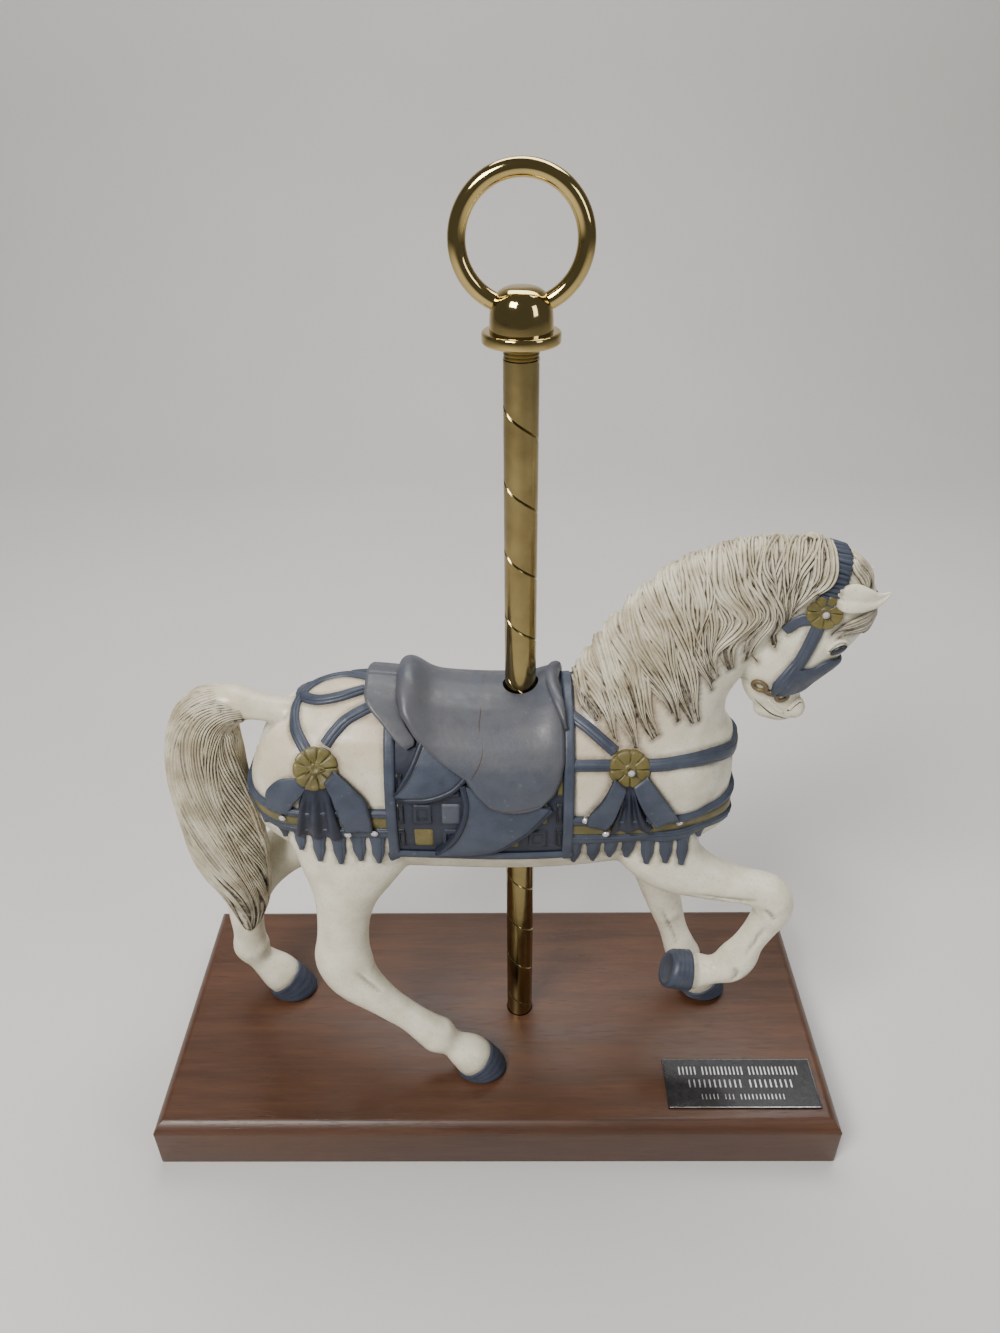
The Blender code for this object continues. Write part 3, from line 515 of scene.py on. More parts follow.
# %% Plate and its strokes
PLATE_LENGTH, PLATE_WIDTH, PLATE_THICKNESS = 72.5 * MM, 26.5 * MM, 0.8 * MM
plate_low, plate_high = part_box("nameplate")
PLATE_MIDDLE = ((plate_low[0] + plate_high[0]) / 2, (plate_low[1] + plate_high[1]) / 2)
PLATE_CORNER = 0.5 * MM
GROOVE_INSETS = [(0.25 * MM, 0), (0.35 * MM, -0.12 * MM), (0.15 * MM, 0.10 * MM)]
STROKE_ROWS = [(6.6, 4.4, 0.60, 1.90, (5, 11, 13)),
               (-0.4, 4.2, 0.66, 2.45, (11, 9)),
               (-7.4, 2.7, 0.45, 1.85, (5, 3, 12))]
STROKE_DEPTH, LINE_WIDTH = 0.10 * MM, 0.3 * MM
LINE_FROM_FRONT, LINE_ENDS, LINE_SINK = 0.45 * MM, 1.0 * MM, 0.06 * MM


def engraved_plate():
    drop_selection()
    middle = (*PLATE_MIDDLE, (plate_low[2] + plate_high[2]) / 2)
    bpy.ops.mesh.primitive_cube_add(size=1, location=middle,
                                    scale=(PLATE_LENGTH, PLATE_WIDTH, PLATE_THICKNESS))
    plate = started("black_plate")
    bpy.ops.object.mode_set(mode="EDIT")
    form = bmesh.from_edit_mesh(plate.data)
    bpy.ops.mesh.select_all(action="DESELECT")
    for edge in form.edges:
        edge.select = abs(edge.verts[0].co.z - edge.verts[1].co.z) > PLATE_THICKNESS / 2
    form.select_flush_mode()
    bpy.ops.mesh.bevel(offset=PLATE_CORNER, segments=3, affect="EDGES")
    bpy.ops.mesh.select_all(action="DESELECT")
    form = bmesh.from_edit_mesh(plate.data)
    for face in form.faces:
        face.select = face.normal.z > 0.9
    for width, depth in GROOVE_INSETS:
        bpy.ops.mesh.inset(thickness=width, depth=depth)
    bpy.ops.object.mode_set(mode="OBJECT")
    return plate


def plate_strokes():
    """A row has its place over the plate's middle, a stroke's height and width, a pitch and its groups."""
    drop_selection()
    top = plate_high[2]
    bpy.ops.mesh.primitive_cube_add(size=1, location=(0, 0, 0))
    pattern = bpy.context.object
    bpy.ops.object.mode_set(mode="EDIT")
    bpy.ops.mesh.select_all(action="SELECT")
    bpy.ops.mesh.bevel(offset=0.12, segments=2, affect="EDGES")
    bpy.ops.object.mode_set(mode="OBJECT")
    strokes = []
    for row_height, tall, wide, pitch, groups in STROKE_ROWS:
        count = sum(groups) + len(groups) - 1
        start = -pitch * (count - 1) / 2
        step = 0
        for group in groups:
            for _ in range(group):
                stroke = pattern.copy()
                stroke.data = pattern.data.copy()
                bpy.context.scene.collection.objects.link(stroke)
                stroke.data.transform(
                    Matrix.Translation((PLATE_MIDDLE[0] + (start + step * pitch) * MM,
                                        PLATE_MIDDLE[1] + row_height * MM, top))
                    @ Matrix.Diagonal((wide * MM, tall * MM, STROKE_DEPTH, 1)))
                strokes.append(stroke)
                step += 1
            step += 1
    front = PLATE_MIDDLE[1] - (PLATE_WIDTH / 2 - LINE_FROM_FRONT)
    pattern.data.transform(Matrix.Translation((PLATE_MIDDLE[0], front, top - LINE_SINK))
                           @ Matrix.Diagonal((PLATE_LENGTH - LINE_ENDS, LINE_WIDTH, STROKE_DEPTH, 1)))
    strokes.append(pattern)
    return join("plate_strokes", strokes)


keep(engraved_plate(), "nameplate", PLATE_BLACK, 30)
keep(plate_strokes(), "nameplate", PLATE_SILVER, 30)

# %% [markdown]
# ## The brass pole
# The pole is a bar with one fine groove that winds round it. A circle with a notch is the bar's
# cross-section, and the Screw modifier carries it up while it turns, which is how such a groove is
# cut. The thread at its top and the finial are turned: a point is extruded into a profile and spun.

# %% Twisted pole
POLE_FOOT, POLE_LENGTH = 16.3 * MM, 358.5 * MM
POLE_TOP = POLE_FOOT + POLE_LENGTH
THREAD_COUNT, THREAD_PITCH, THREAD_DEPTH, THREAD_REST = 8, 1.25 * MM, 0.4 * MM, 1.0 * MM
THREAD_FOOT = POLE_TOP - THREAD_REST - THREAD_COUNT * THREAD_PITCH
GROOVE_PITCH, GROOVE_DEPTH, GROOVE_HALF_DEGREES = 27.6 * MM, 0.45 * MM, 5.0
GROOVE_LEFT_HEIGHT = 321 * MM
POLE_SIDES, POLE_STEPS = 96, 320


def twisted_pole():
    drop_selection()
    bpy.ops.mesh.primitive_circle_add(vertices=POLE_SIDES, radius=POLE_RADIUS, fill_type="NOTHING")
    pole = bpy.context.object
    pole.name = "brass_pole"
    start = math.radians(180) + 2 * math.pi * (GROOVE_LEFT_HEIGHT - POLE_FOOT) / GROOVE_PITCH
    notch = Quaternion((0, 0, 1), start)
    for corner in pole.data.vertices:
        away = math.degrees(Vector((1, 0)).angle_signed(corner.co.xy))
        share = max(0.0, 1 - (abs(away) / GROOVE_HALF_DEGREES) ** 2)
        corner.co = corner.co * (1 - share * GROOVE_DEPTH / POLE_RADIUS)
        corner.co.rotate(notch)
    height = THREAD_FOOT - POLE_FOOT
    apply_modifier(pole, "SCREW", screw_offset=height, angle=-2 * math.pi * height / GROOVE_PITCH,
                   steps=POLE_STEPS, render_steps=POLE_STEPS, use_smooth_shade=True)
    bpy.ops.object.mode_set(mode="EDIT")
    bpy.ops.mesh.select_all(action="SELECT")
    bpy.ops.mesh.remove_doubles(threshold=0.001 * MM)
    bpy.ops.mesh.fill_holes(sides=0)
    bpy.ops.mesh.normals_make_consistent(inside=False)
    bpy.ops.object.mode_set(mode="OBJECT")
    pole.data.transform(Matrix.Translation((POLE_PLACE, 0, POLE_FOOT)))
    return pole


# %% Turned thread
CREST_WORN, CREST_HALF, THREAD_OVERLAP = 0.08 * MM, 0.16 * MM, 0.3 * MM


def turned(name, profile, steps):
    """A point extruded into a profile of radius and height, then spun about the pole's axis."""
    drop_selection()
    bpy.ops.mesh.primitive_plane_add(size=0.1 * MM, location=(POLE_PLACE + profile[0][0], 0, profile[0][1]))
    piece = started(name)
    bpy.ops.object.mode_set(mode="EDIT")
    bpy.ops.mesh.select_all(action="SELECT")
    bpy.ops.mesh.merge(type="CENTER")
    for (radius, height), (next_radius, next_height) in zip(profile, profile[1:]):
        bpy.ops.mesh.extrude_region_move(
            TRANSFORM_OT_translate={"value": (next_radius - radius, 0, next_height - height)})
    bpy.ops.mesh.select_all(action="SELECT")
    bpy.ops.mesh.spin(steps=steps, angle=2 * math.pi, center=(POLE_PLACE, 0, 0), axis=(0, 0, 1))
    bpy.ops.mesh.select_all(action="SELECT")
    bpy.ops.mesh.remove_doubles(threshold=0.002 * MM)
    bpy.ops.mesh.normals_make_consistent(inside=False)
    bpy.ops.object.mode_set(mode="OBJECT")
    return piece


def pole_thread():
    root, outside = POLE_RADIUS - THREAD_DEPTH, POLE_RADIUS - CREST_WORN
    profile = [(0, POLE_TOP), (root, POLE_TOP)]
    for index in range(THREAD_COUNT):
        crest = POLE_TOP - THREAD_REST - (index + 0.5) * THREAD_PITCH
        profile += [(outside, crest + CREST_HALF), (outside, crest - CREST_HALF),
                    (root, crest - THREAD_PITCH / 2)]
    profile += [(root, THREAD_FOOT - THREAD_OVERLAP), (0, THREAD_FOOT - THREAD_OVERLAP)]
    return turned("pole_thread", profile, 72)


pole = twisted_pole()
lay_wash_and_shade(pole, 0.16, spread=3)
keep(pole, "pole", POLE_BRASS, 40)
thread = pole_thread()
lay_wash_and_shade(thread, 0.3, spread=2)
keep(thread, "pole", POLE_BRASS, 30)

# %% Cap and ring
CAP_WALL, CAP_BORE_DEPTH, CAP_ROOF, CAP_FULLNESS = 4.2 * MM, 6.0 * MM, 12.4 * MM, 3.1
FLANGE_OVERHANG, FLANGE_THICKNESS, FLANGE_LEDGE = 2.7 * MM, 4.1 * MM, 0.5 * MM
FLANGE_ROUND = 0.24 * FLANGE_THICKNESS
RING_OUTER_DIAMETER, RING_TUBE_DIAMETER, RING_SINK = 47.8 * MM, 6.0 * MM, 10.0 * MM


def quarter(centre_radius, centre_height, reach, first_degrees, steps=6):
    """A rounded corner of a turned profile, a quarter turn clockwise from its first angle."""
    places = []
    for index in range(steps + 1):
        turn = math.radians(first_degrees - 90 * index / steps)
        places.append((centre_radius + reach * math.cos(turn), centre_height + reach * math.sin(turn)))
    return places


def ring_finial():
    bore = POLE_RADIUS + POLE_PLAY
    roof = POLE_TOP + POLE_PLAY
    low = roof - CAP_BORE_DEPTH
    bell = bore + CAP_WALL
    flange, foot = bell + FLANGE_OVERHANG, low + FLANGE_THICKNESS
    crown = roof + CAP_ROOF
    power = 2 / CAP_FULLNESS
    dome = []
    for index in range(25):
        turn = math.radians(90 - 90 * index / 24)
        dome.append((bell * max(math.cos(turn), 0) ** power, foot + (crown - foot) * math.sin(turn) ** power))
    edge = FLANGE_ROUND
    lip = [(bell, foot), (bell + FLANGE_LEDGE, foot)]
    lip += quarter(flange - edge, foot - edge, edge, 90) + quarter(flange - edge, low + edge, edge, 0)
    cap = turned("ring_finial", dome[:-1] + lip + [(bore, low), (bore, roof), (0, roof)], 96)
    drop_selection()
    centre = crown - RING_SINK + RING_OUTER_DIAMETER / 2
    middle_radius = (RING_OUTER_DIAMETER - RING_TUBE_DIAMETER) / 2
    bpy.ops.mesh.primitive_torus_add(major_segments=128, minor_segments=32, major_radius=middle_radius,
                                     minor_radius=RING_TUBE_DIAMETER / 2, location=(POLE_PLACE, 0, centre),
                                     rotation=(math.radians(90), 0, 0))
    ring = started("ring_shape")
    apply_modifier(cap, "BOOLEAN", operation="UNION", object=ring, solver="EXACT")
    bpy.data.objects.remove(ring, do_unlink=True)
    cap.data.name = "ring_finial"
    print("cap: bell radius", round(bell / MM, 2), "crown height", round(crown / MM, 1))
    return cap


finial = ring_finial()
lay_wash_and_shade(finial, 0.9, spread=1, strength=0.0)
finial.name = "brass_cap_and_ring"
keep(finial, "ring_finial", POLISHED, 35)

# %% [markdown]
# ## The horse's body
# The real horse was carved in clay, moulded and cast. Here each limb is a circle extruded from station
# to station, with every new ring put in place and sized in code. Stretched spheres stand for muscles.
# All of it is joined, made one skin by a voxel remesh and then smoothed, as clay would be, and soft
# grooves are pressed in between the tendons. A station is x, y, z, half its depth in the horse's own
# plane and half its width across, in millimetres. A muscle or a bone is x, y, z, its three half sizes
# and its tilt in degrees.

# %% Rings and limbs
def tube(name, rings):
    """A circle extruded once for each ring of places."""
    drop_selection()
    bpy.ops.mesh.primitive_circle_add(vertices=len(rings[0]), radius=MM, fill_type="NGON")
    piece = bpy.context.object
    piece.name = name
    for corner, place in zip(piece.data.vertices, rings[0]):
        corner.co = place
    bpy.ops.object.mode_set(mode="EDIT")
    bpy.ops.mesh.select_all(action="SELECT")
    here = [corner.co.copy() for corner in piece.data.vertices]
    for ring in rings[1:]:
        bpy.ops.mesh.extrude_region_move()
        form = bmesh.from_edit_mesh(piece.data)
        where = {tuple(round(value, 8) for value in place): index for index, place in enumerate(here)}
        for corner in form.verts:
            if corner.select:
                corner.co = ring[where[tuple(round(value, 8) for value in corner.co)]]
        bmesh.update_edit_mesh(piece.data)
        here = [Vector(np.float32(place)) for place in ring]
    bpy.ops.mesh.select_all(action="SELECT")
    bpy.ops.mesh.normals_make_consistent(inside=False)
    bpy.ops.object.mode_set(mode="OBJECT")
    return piece


def limb(name, stations, sides=32, steps=4):
    path = flowing(stations, steps)
    centres = [at(*row[:3]) for row in path]
    last = len(path) - 1
    rings = []
    for index, row in enumerate(path):
        along = (centres[min(index + 1, last)] - centres[max(index - 1, 0)]).normalized()
        deep = along.cross(Vector((0, 1, 0))).normalized()
        wide = deep.cross(along).normalized()
        ring = []
        for side in range(sides):
            angle = 2 * math.pi * side / sides
            ring.append(centres[index] + deep * (row[3] * MM * math.cos(angle))
                        + wide * (row[4] * MM * math.sin(angle)))
        rings.append(ring)
    return tube(name, rings)


def muscle(x, y, z, rx, ry, rz, tilt=0.0):
    drop_selection()
    bpy.ops.mesh.primitive_uv_sphere_add(segments=28, ring_count=16, radius=1, location=at(x, y, z),
                                         scale=(rx * MM, ry * MM, rz * MM))
    piece = bpy.context.object
    piece.rotation_euler = Matrix.Rotation(math.radians(-tilt), 3, "Y").to_euler()
    return started("muscle")


# %% Stations of the body
BARREL = [(-103, 0, 190, 14, 10), (-98, 0, 189, 25, 17), (-90, 0, 187, 34, 24),
          (-78, 0, 186, 42, 30), (-62, 0, 185.5, 46.5, 33), (-42, 0, 185.5, 46, 34),
          (-20, 0, 184, 45, 34.5), (5, 0, 183, 44.5, 35), (28, 0, 184, 45, 34.5),
          (48, 0, 186, 45, 33), (66, 0, 187, 44, 30.5), (82, 0, 187, 40, 26.5),
          (93, 0, 187, 32, 21.5), (99, 0, 188, 23, 15), (101.5, 0, 188, 12, 9)]
NECK = [(56, 0, 193, 44.5, 30), (63.3, 0, 208, 40.6, 28), (65.3, 0, 222, 33.4, 24),
        (70.4, 0, 238, 29.2, 20), (79.8, 0, 253, 27.5, 17), (90.5, 0, 264.5, 26, 14.5),
        (101, 0, 272, 22.5, 13), (113, 0, 276, 18.5, 12), (124, 0, 277, 15, 11.5)]
HEAD = [(112, 0, 279, 14, 10), (128, 0, 280.5, 13, 11), (133, 0, 270, 17.5, 12.2),
        (125.5, 0, 256, 17.6, 12.3), (117.4, 0, 243, 15.6, 11.2), (116, 0, 232, 13.4, 9.3),
        (118, 0, 224, 9.5, 7.6), (119, 0, 218.5, 8.5, 7), (119, 0, 214.5, 5, 4.5)]
NEAR_HIND = [(-60, -15, 188, 33, 17), (-61, -19, 165, 29, 15), (-64, -21.5, 148, 21.5, 13),
             (-66.5, -23, 135, 15, 11.5), (-68.5, -24, 122, 12.2, 10), (-70, -25.5, 108, 12, 9.2),
             (-70.5, -27, 96, 13.5, 9.2), (-66, -28.5, 84, 12.2, 8.8), (-54, -31, 72, 8.6, 7.2),
             (-42, -33, 62.5, 7.3, 6.6), (-33, -34.5, 55, 8.2, 7.4), (-27.5, -35, 50.5, 9.0, 8.3),
             (-22, -35.5, 46, 6.2, 6.4), (-18, -36, 42.5, 7.6, 7.8), (-13, -36, 38, 9.7, 9.4),
             (-9, -36, 32, 9.6, 9.2)]
FAR_HIND = [(-58, 15, 188, 33, 17), (-64, 17, 165, 27, 15), (-76, 17, 147, 20, 13),
            (-90, 16.5, 134, 14.5, 11.5), (-104, 16, 123.5, 12.2, 9.6), (-117, 15, 112, 12.6, 9.2),
            (-124, 14, 99, 11.5, 8.6), (-126.5, 13, 84, 8.8, 7.4), (-127, 12.5, 70, 8.0, 7.0),
            (-127, 12, 61, 9.4, 8.4), (-124, 12, 53, 6.8, 6.8), (-120.5, 12, 48, 7.8, 7.8),
            (-115.5, 12, 41.5, 9.7, 9.4), (-111, 12, 34.5, 9.6, 9.2)]
NEAR_FORE = [(66, -15, 178, 24, 14), (70, -17, 162, 20, 13), (78, -19, 150, 16, 11.5),
             (90, -20.5, 143, 11.8, 9.6), (102, -21.5, 139.2, 9.6, 8.4), (113, -22.5, 137, 8.4, 7.8),
             (122, -23, 133, 9.6, 8.6), (125.5, -23, 124, 9.0, 8.2), (122, -23, 113, 7.2, 6.8),
             (117.5, -23, 102, 6.9, 6.4), (114, -23, 92.5, 8.8, 8.0), (109.5, -23, 86, 8.6, 8),
             (103, -23, 83, 6.4, 6.6), (98, -23, 82.6, 7.6, 7.6), (93, -23, 82.4, 9.0, 8.8),
             (88.5, -23, 82.5, 8.6, 8.4)]
FAR_FORE = [(62, 15, 176, 22, 14), (67, 15, 156, 18, 13), (71, 14.5, 138, 13.5, 11),
            (75.5, 14, 120, 10.8, 9.2), (80, 13.5, 104, 9.6, 8.6), (84.5, 13, 90, 8.6, 7.8),
            (89.5, 12.5, 74, 7.1, 6.6), (94, 12, 61, 8.0, 7.4), (97.2, 12, 53, 8.8, 8),
            (100.5, 11.5, 47, 6.6, 6.8), (103.5, 11, 42, 7.8, 7.8), (106, 11, 37.5, 9.6, 9.4),
            (108, 10.8, 32.5, 9.4, 9.2)]
DOCK = [(-80, 0, 216, 7, 7), (-92, 0, 219, 5.6, 6.4), (-100, 0, 221, 6, 7), (-109, 0, 222.5, 8, 8),
        (-118, 0, 219, 9, 8), (-124, -1, 210, 8, 7)]
MUSCLES = [(-73, 9, 191, 30, 24, 31), (-50, 14, 170, 20, 20, 24), (70, 8, 195, 27, 23.5, 32, 20),
           (86.5, 8, 184, 14, 14.5, 19), (113, 5, 243, 11.5, 8.2, 14, 15), (134, 8.5, 256, 6, 5, 4.5, 40),
           (125.3, 4.2, 221.5, 4.2, 4, 5), (114.5, 0, 220, 6, 5.6, 5, 30)]
BONES = [(-76, -27, 101, 5.5, 6.0, 8, 10), (-66, -30, 91, 7, 6.5, 7, 0), (-29, -35, 51, 7, 8.6, 6.5, 45),
         (-130, 13, 104, 5.5, 6.0, 8, -5), (-127, 12, 61, 7.2, 8.6, 6.5, 0),
         (124.5, -23, 131, 8.0, 9.0, 7.5, 0), (113.5, -23, 92, 7.2, 8.2, 6.5, 0),
         (86, 13, 87, 7.2, 8.4, 9, 0), (98, 12, 52, 7.6, 8.4, 6.2, 0)]


# %% Tendon grooves
def skin_of(piece):
    return BVHTree.FromPolygons([corner.co for corner in piece.data.vertices],
                                [tuple(face.vertices) for face in piece.data.polygons])


TENDONS = [[(-72, -34, 79), (-59.5, -37, 67), (-46.5, -39, 57.5), (-37, -41, 51)],
           [(88, -32, 138), (98, -31, 135.5), (108, -31, 134.5), (116, -31, 136)],
           [(84, -31, 132), (93, -30, 131), (102, -30, 131)],
           [(121, -31, 119), (117.5, -31, 109), (114.5, -31, 99)],
           [(110, -31, 93), (111.5, -31, 88), (110, -31, 83)],
           [(119, -31, 131), (122, -31, 127), (124.5, -31, 124)],
           [(-64, -36, 96), (-58, -36, 88), (-52, -36, 82)],
           [(82, 6, 92), (87, 5.5, 79), (92, 5, 67)]]
TENDON_DEPTH, TENDON_HALF_WIDTH, TENDON_STEPS = 1.3, 1.25, 60


def carved(piece, routes, depth, half_width):
    """Presses soft grooves into the surface along each route; they run out at both ends."""
    surface = skin_of(piece)
    cuts = KDTree(TENDON_STEPS * len(routes))
    for route in routes:
        for index, place in enumerate(evenly(route, TENDON_STEPS)):
            cuts.insert(surface.find_nearest(Vector(place) * MM)[0], index)
    cuts.balance()
    marks = [cuts.find(corner.co)[1:] for corner in piece.data.vertices]
    for corner, (index, gap) in zip(piece.data.vertices, marks):
        if gap < 3 * half_width * MM:
            ends = math.sin(math.pi * (index + 1) / (TENDON_STEPS + 1)) ** 0.6
            corner.co -= corner.normal * (depth * ends * MM * math.exp(-(gap / (half_width * MM)) ** 2))


# %% Join the clay
BODY_VOXEL, BODY_SMOOTHING = 1.22 * MM, 7


def horse_body():
    clay = [limb("clay", stations) for stations in (BARREL, NECK, HEAD, NEAR_HIND, FAR_HIND, NEAR_FORE,
                                                    FAR_FORE, DOCK)]
    for row in MUSCLES:
        for side in (-1, 1):
            clay.append(muscle(row[0], row[1] * side, *row[2:]))
    clay += [muscle(*row) for row in BONES]
    body = join("horse_body", clay)
    apply_modifier(body, "REMESH", mode="VOXEL", voxel_size=BODY_VOXEL)
    apply_modifier(body, "SMOOTH", factor=0.5, iterations=BODY_SMOOTHING)
    carved(body, TENDONS, TENDON_DEPTH, TENDON_HALF_WIDTH)
    return body


body = horse_body()
print("clay:", len(body.data.vertices), "corners")


# %% [markdown]
# ### Laying tack on the skin
# Straps, hair and saddlery follow the body, so their places come from the body's own surface. Round the
# barrel a place is its x and an angle down from the ridge, found by a ray towards the barrel's middle.
# Elsewhere a place is drawn in the air and falls to the nearest skin.

# %% Find the skin
AXIS_HEIGHT, OUTSIDE = 185, 90
skin = skin_of(body)


def around(x, angle, lift):
    turn = math.radians(angle)
    outward = Vector((0, -math.sin(turn), math.cos(turn)))
    hit = skin.ray_cast(at(x, 0, AXIS_HEIGHT) + outward * OUTSIDE * MM, -outward)[0]
    return hit + outward * lift * MM


def nearest(surface, place):
    hit, normal, _, _ = surface.find_nearest(place)
    return hit, normal


# %% Straps, locks and rails
def strap_rings(surface, route, section, count):
    """Rings of a strap along a route. The section gives (across, up) for a share of the way."""
    path = [Vector(row) * MM for row in evenly(route, count)]
    last = len(path) - 1
    seats = [nearest(surface, place) for place in path]
    rings = []
    for index, (hit, normal) in enumerate(seats):
        ahead, behind = seats[min(index + 1, last)][0], seats[max(index - 1, 0)][0]
        calm = (normal + seats[min(index + 1, last)][1] + seats[max(index - 1, 0)][1]).normalized()
        along = (ahead - behind).normalized()
        side = along.cross(calm).normalized()
        up = side.cross(along).normalized()
        rings.append([hit + side * u * MM + up * v * MM for u, v in section(index / last)])
    return rings


def strap(name, route, width, lift, count=None, sink=1.2, ribs=0, rib_depth=0.3, taper=None):
    """A flat strap with rounded edges; ribs cross it like those of the crown strap.
    The taper gives its share of the width for a share of the way."""
    length = sum(math.dist(a, b) for a, b in zip(route, route[1:]))
    count = count or max(6, round(length / (0.35 if ribs else 1.3)))
    half = width / 2
    outline = [(-1, -sink), (-1, 0.45 * lift), (-0.86, 0.85 * lift), (-0.6, lift), (0, lift * 1.04),
               (0.6, lift), (0.86, 0.85 * lift), (1, 0.45 * lift), (1, -sink)]

    def section(share):
        drop = rib_depth * lift * (1 - abs(math.sin(math.pi * ribs * share))) if ribs else 0.0
        wide = taper(share) if taper else 1.0
        low = 0.35 + 0.65 * min(1.0, wide / 0.4)
        return [(u * half * wide, (v - drop) * low if v > 0 else v) for u, v in outline]

    return tube(name, strap_rings(skin, route, section, count))


def lock(name, route, width, lift, strands=4, sink=1.0, surface=None, phase=0.0, tip=0.10, count=26,
         root=0.85, sway=0.6):
    """A lock of hair: its top is cut into strands, it waves a little and it narrows to its tip."""
    columns = strands * 4

    def section(share):
        spread = (root + (1 - root) * min(1, share * 4)) * (1 - (1 - tip) * soft_step(0.5, 1.0, share) ** 1.3)
        shift = sway * math.sin(2 * math.pi * (share * 1.5 + phase))
        rise = lift * (0.35 + 0.65 * soft_step(0, 0.15, share)) * (1 - 0.85 * soft_step(0.6, 1.0, share))
        top = []
        for column in range(columns + 1):
            u = 2 * column / columns - 1
            ridge = abs(math.sin(math.pi * strands * (u + 1) / 2)) ** 0.55
            top.append((u * width / 2 * spread + shift, rise * (1 - 0.5 * u * u) * (0.30 + 0.70 * ridge)))
        return [(-width / 2 * spread + shift, -sink), *top, (width / 2 * spread + shift, -sink)]

    return tube(name, strap_rings(surface or skin, route, section, count))


# %% Sheets laid between two edges
def sheet(name, columns, rows, spot, thickness):
    """A grid whose corners are put in place by spot(u, v), then thickened inward."""
    drop_selection()
    bpy.ops.mesh.primitive_grid_add(x_subdivisions=columns, y_subdivisions=rows, size=1)
    piece = bpy.context.object
    piece.name = name
    for corner in piece.data.vertices:
        corner.co = spot(corner.co.x + 0.5, corner.co.y + 0.5)
    middle = piece.data.polygons[len(piece.data.polygons) // 2]
    inward = middle.normal.dot(middle.center - at(middle.center.x / MM, 0, AXIS_HEIGHT)) < 0
    apply_modifier(piece, "SOLIDIFY", thickness=thickness * MM, offset=1.0 if inward else -1.0,
                   use_even_offset=False)
    face_outward(piece)
    return piece


def between(edge_a, edge_b, rows):
    """Places on a patch whose sides run along two edges of (x, angle) corners."""
    first, second = evenly(edge_a, rows + 1), evenly(edge_b, rows + 1)

    def spot(u, v):
        step = v * rows
        low = min(int(step), rows - 1)
        part = step - low
        a = first[low] * (1 - part) + first[low + 1] * part
        b = second[low] * (1 - part) + second[low + 1] * part
        return a * (1 - u) + b * u

    return spot


def rim_round(u, v, edge_u, edge_v):
    """1 in the middle of a sheet and falling to 0 at its rim over a share of its width and length."""
    near_u = min(1.0, min(u, 1 - u) / edge_u) if edge_u else 1.0
    near_v = min(1.0, min(v, 1 - v) / edge_v) if edge_v else 1.0
    return (1 - (1 - near_u) ** 2.5) * (1 - (1 - near_v) ** 2.5)


RIM_DROP = 0.75


def flap(name, edge_a, edge_b, lift, columns, rows, thickness, edge_u=0.12, edge_v=0.0, side=1, crown=0.0):
    """A flap cut between two edges and laid round the barrel, on the near (1) or far (-1) side. Its lift
    is a number, or a function of the shares of its width and length."""
    cut = between(edge_a, edge_b, rows)

    def spot(u, v):
        x, angle = cut(u, v)
        height = lift(u, v) if callable(lift) else lift
        height -= RIM_DROP * (1 - rim_round(u, v, edge_u, edge_v))
        height += crown * (1 - (2 * u - 1) ** 2)
        return around(x, side * angle, height)

    return sheet(name, columns, rows, spot, thickness)


# %% [markdown]
# ## Blanket, saddle and flaps
# A square blanket lies over the back: a raised slate border round a dark field of square checks, some
# of them gold and one pale. On it lie two leaf-shaped flaps, the pad behind the seat, and the saddle's
# smooth skirt with its raised cantle and pommel. Each is a grid laid round the barrel and thickened.

# %% Blanket field and border
PANEL_REAR, PANEL_FRONT, PANEL_LOW = -43.5, 33.0, 121.0
BORDER, BORDER_ANGLE = 4.4, 6.5


def blanket_field():
    def spot(u, v):
        x = PANEL_REAR + 1 + (PANEL_FRONT - PANEL_REAR - 2) * u
        return around(x, (2 * v - 1) * (PANEL_LOW - 1.5), 1.0)

    return sheet("blanket_field", 60, 110, spot, 2.2)


def border_strip(x0, x1, a0, a1, lift=2.5, edge_u=0.22, edge_v=0.0, columns=8, rows=60):
    def spot(u, v):
        height = lift - 0.9 * (1 - rim_round(u, v, edge_u, edge_v))
        return around(x0 + (x1 - x0) * u, a0 + (a1 - a0) * v, height)

    return sheet("border", columns, rows, spot, 3.0)


def blanket_border():
    strips = []
    strips.append(border_strip(PANEL_FRONT - BORDER, PANEL_FRONT, -PANEL_LOW, PANEL_LOW, rows=150))
    for side in (-1, 1):
        strips.append(border_strip(PANEL_REAR, PANEL_REAR + BORDER, side * 20, side * PANEL_LOW, rows=70))
        strips.append(border_strip(PANEL_REAR, PANEL_FRONT, side * (PANEL_LOW - BORDER_ANGLE),
                                   side * PANEL_LOW, edge_u=0.0, edge_v=0.3, columns=70, rows=8))
    return join("blanket_border", strips)


# %% Checks
CHECK_PITCH, CHECK_FIRST, CHECK_HALF = 11.7, -28.5, 4.1
CHECK_ROWS, CHECK_HALF_ANGLE, NARROWEST_CHECK = (101, 80.5, 60), 8.2, 1.2
PALE_CHECK = (1, 1)
FLAT_CHECK, FRAME_CHECK = (0.9, 0.0), (1.2, 0.75)


def check_tile(x, angle, half, half_angle, lift, hollow, side):
    """A square of the blanket: a grid with a raised rim and, for a frame, a hollow middle."""
    def spot(u, v):
        wall = rim_round(u, v, 0.14, 0.14)
        dent = hollow * soft_step(0.18, 0.27, min(u, 1 - u, v, 1 - v))
        turn = side * (angle + (2 * v - 1) * half_angle)
        return around(x + (2 * u - 1) * half, turn, 0.7 + lift * wall - dent)

    return sheet("check", 11, 11, spot, 1.2)


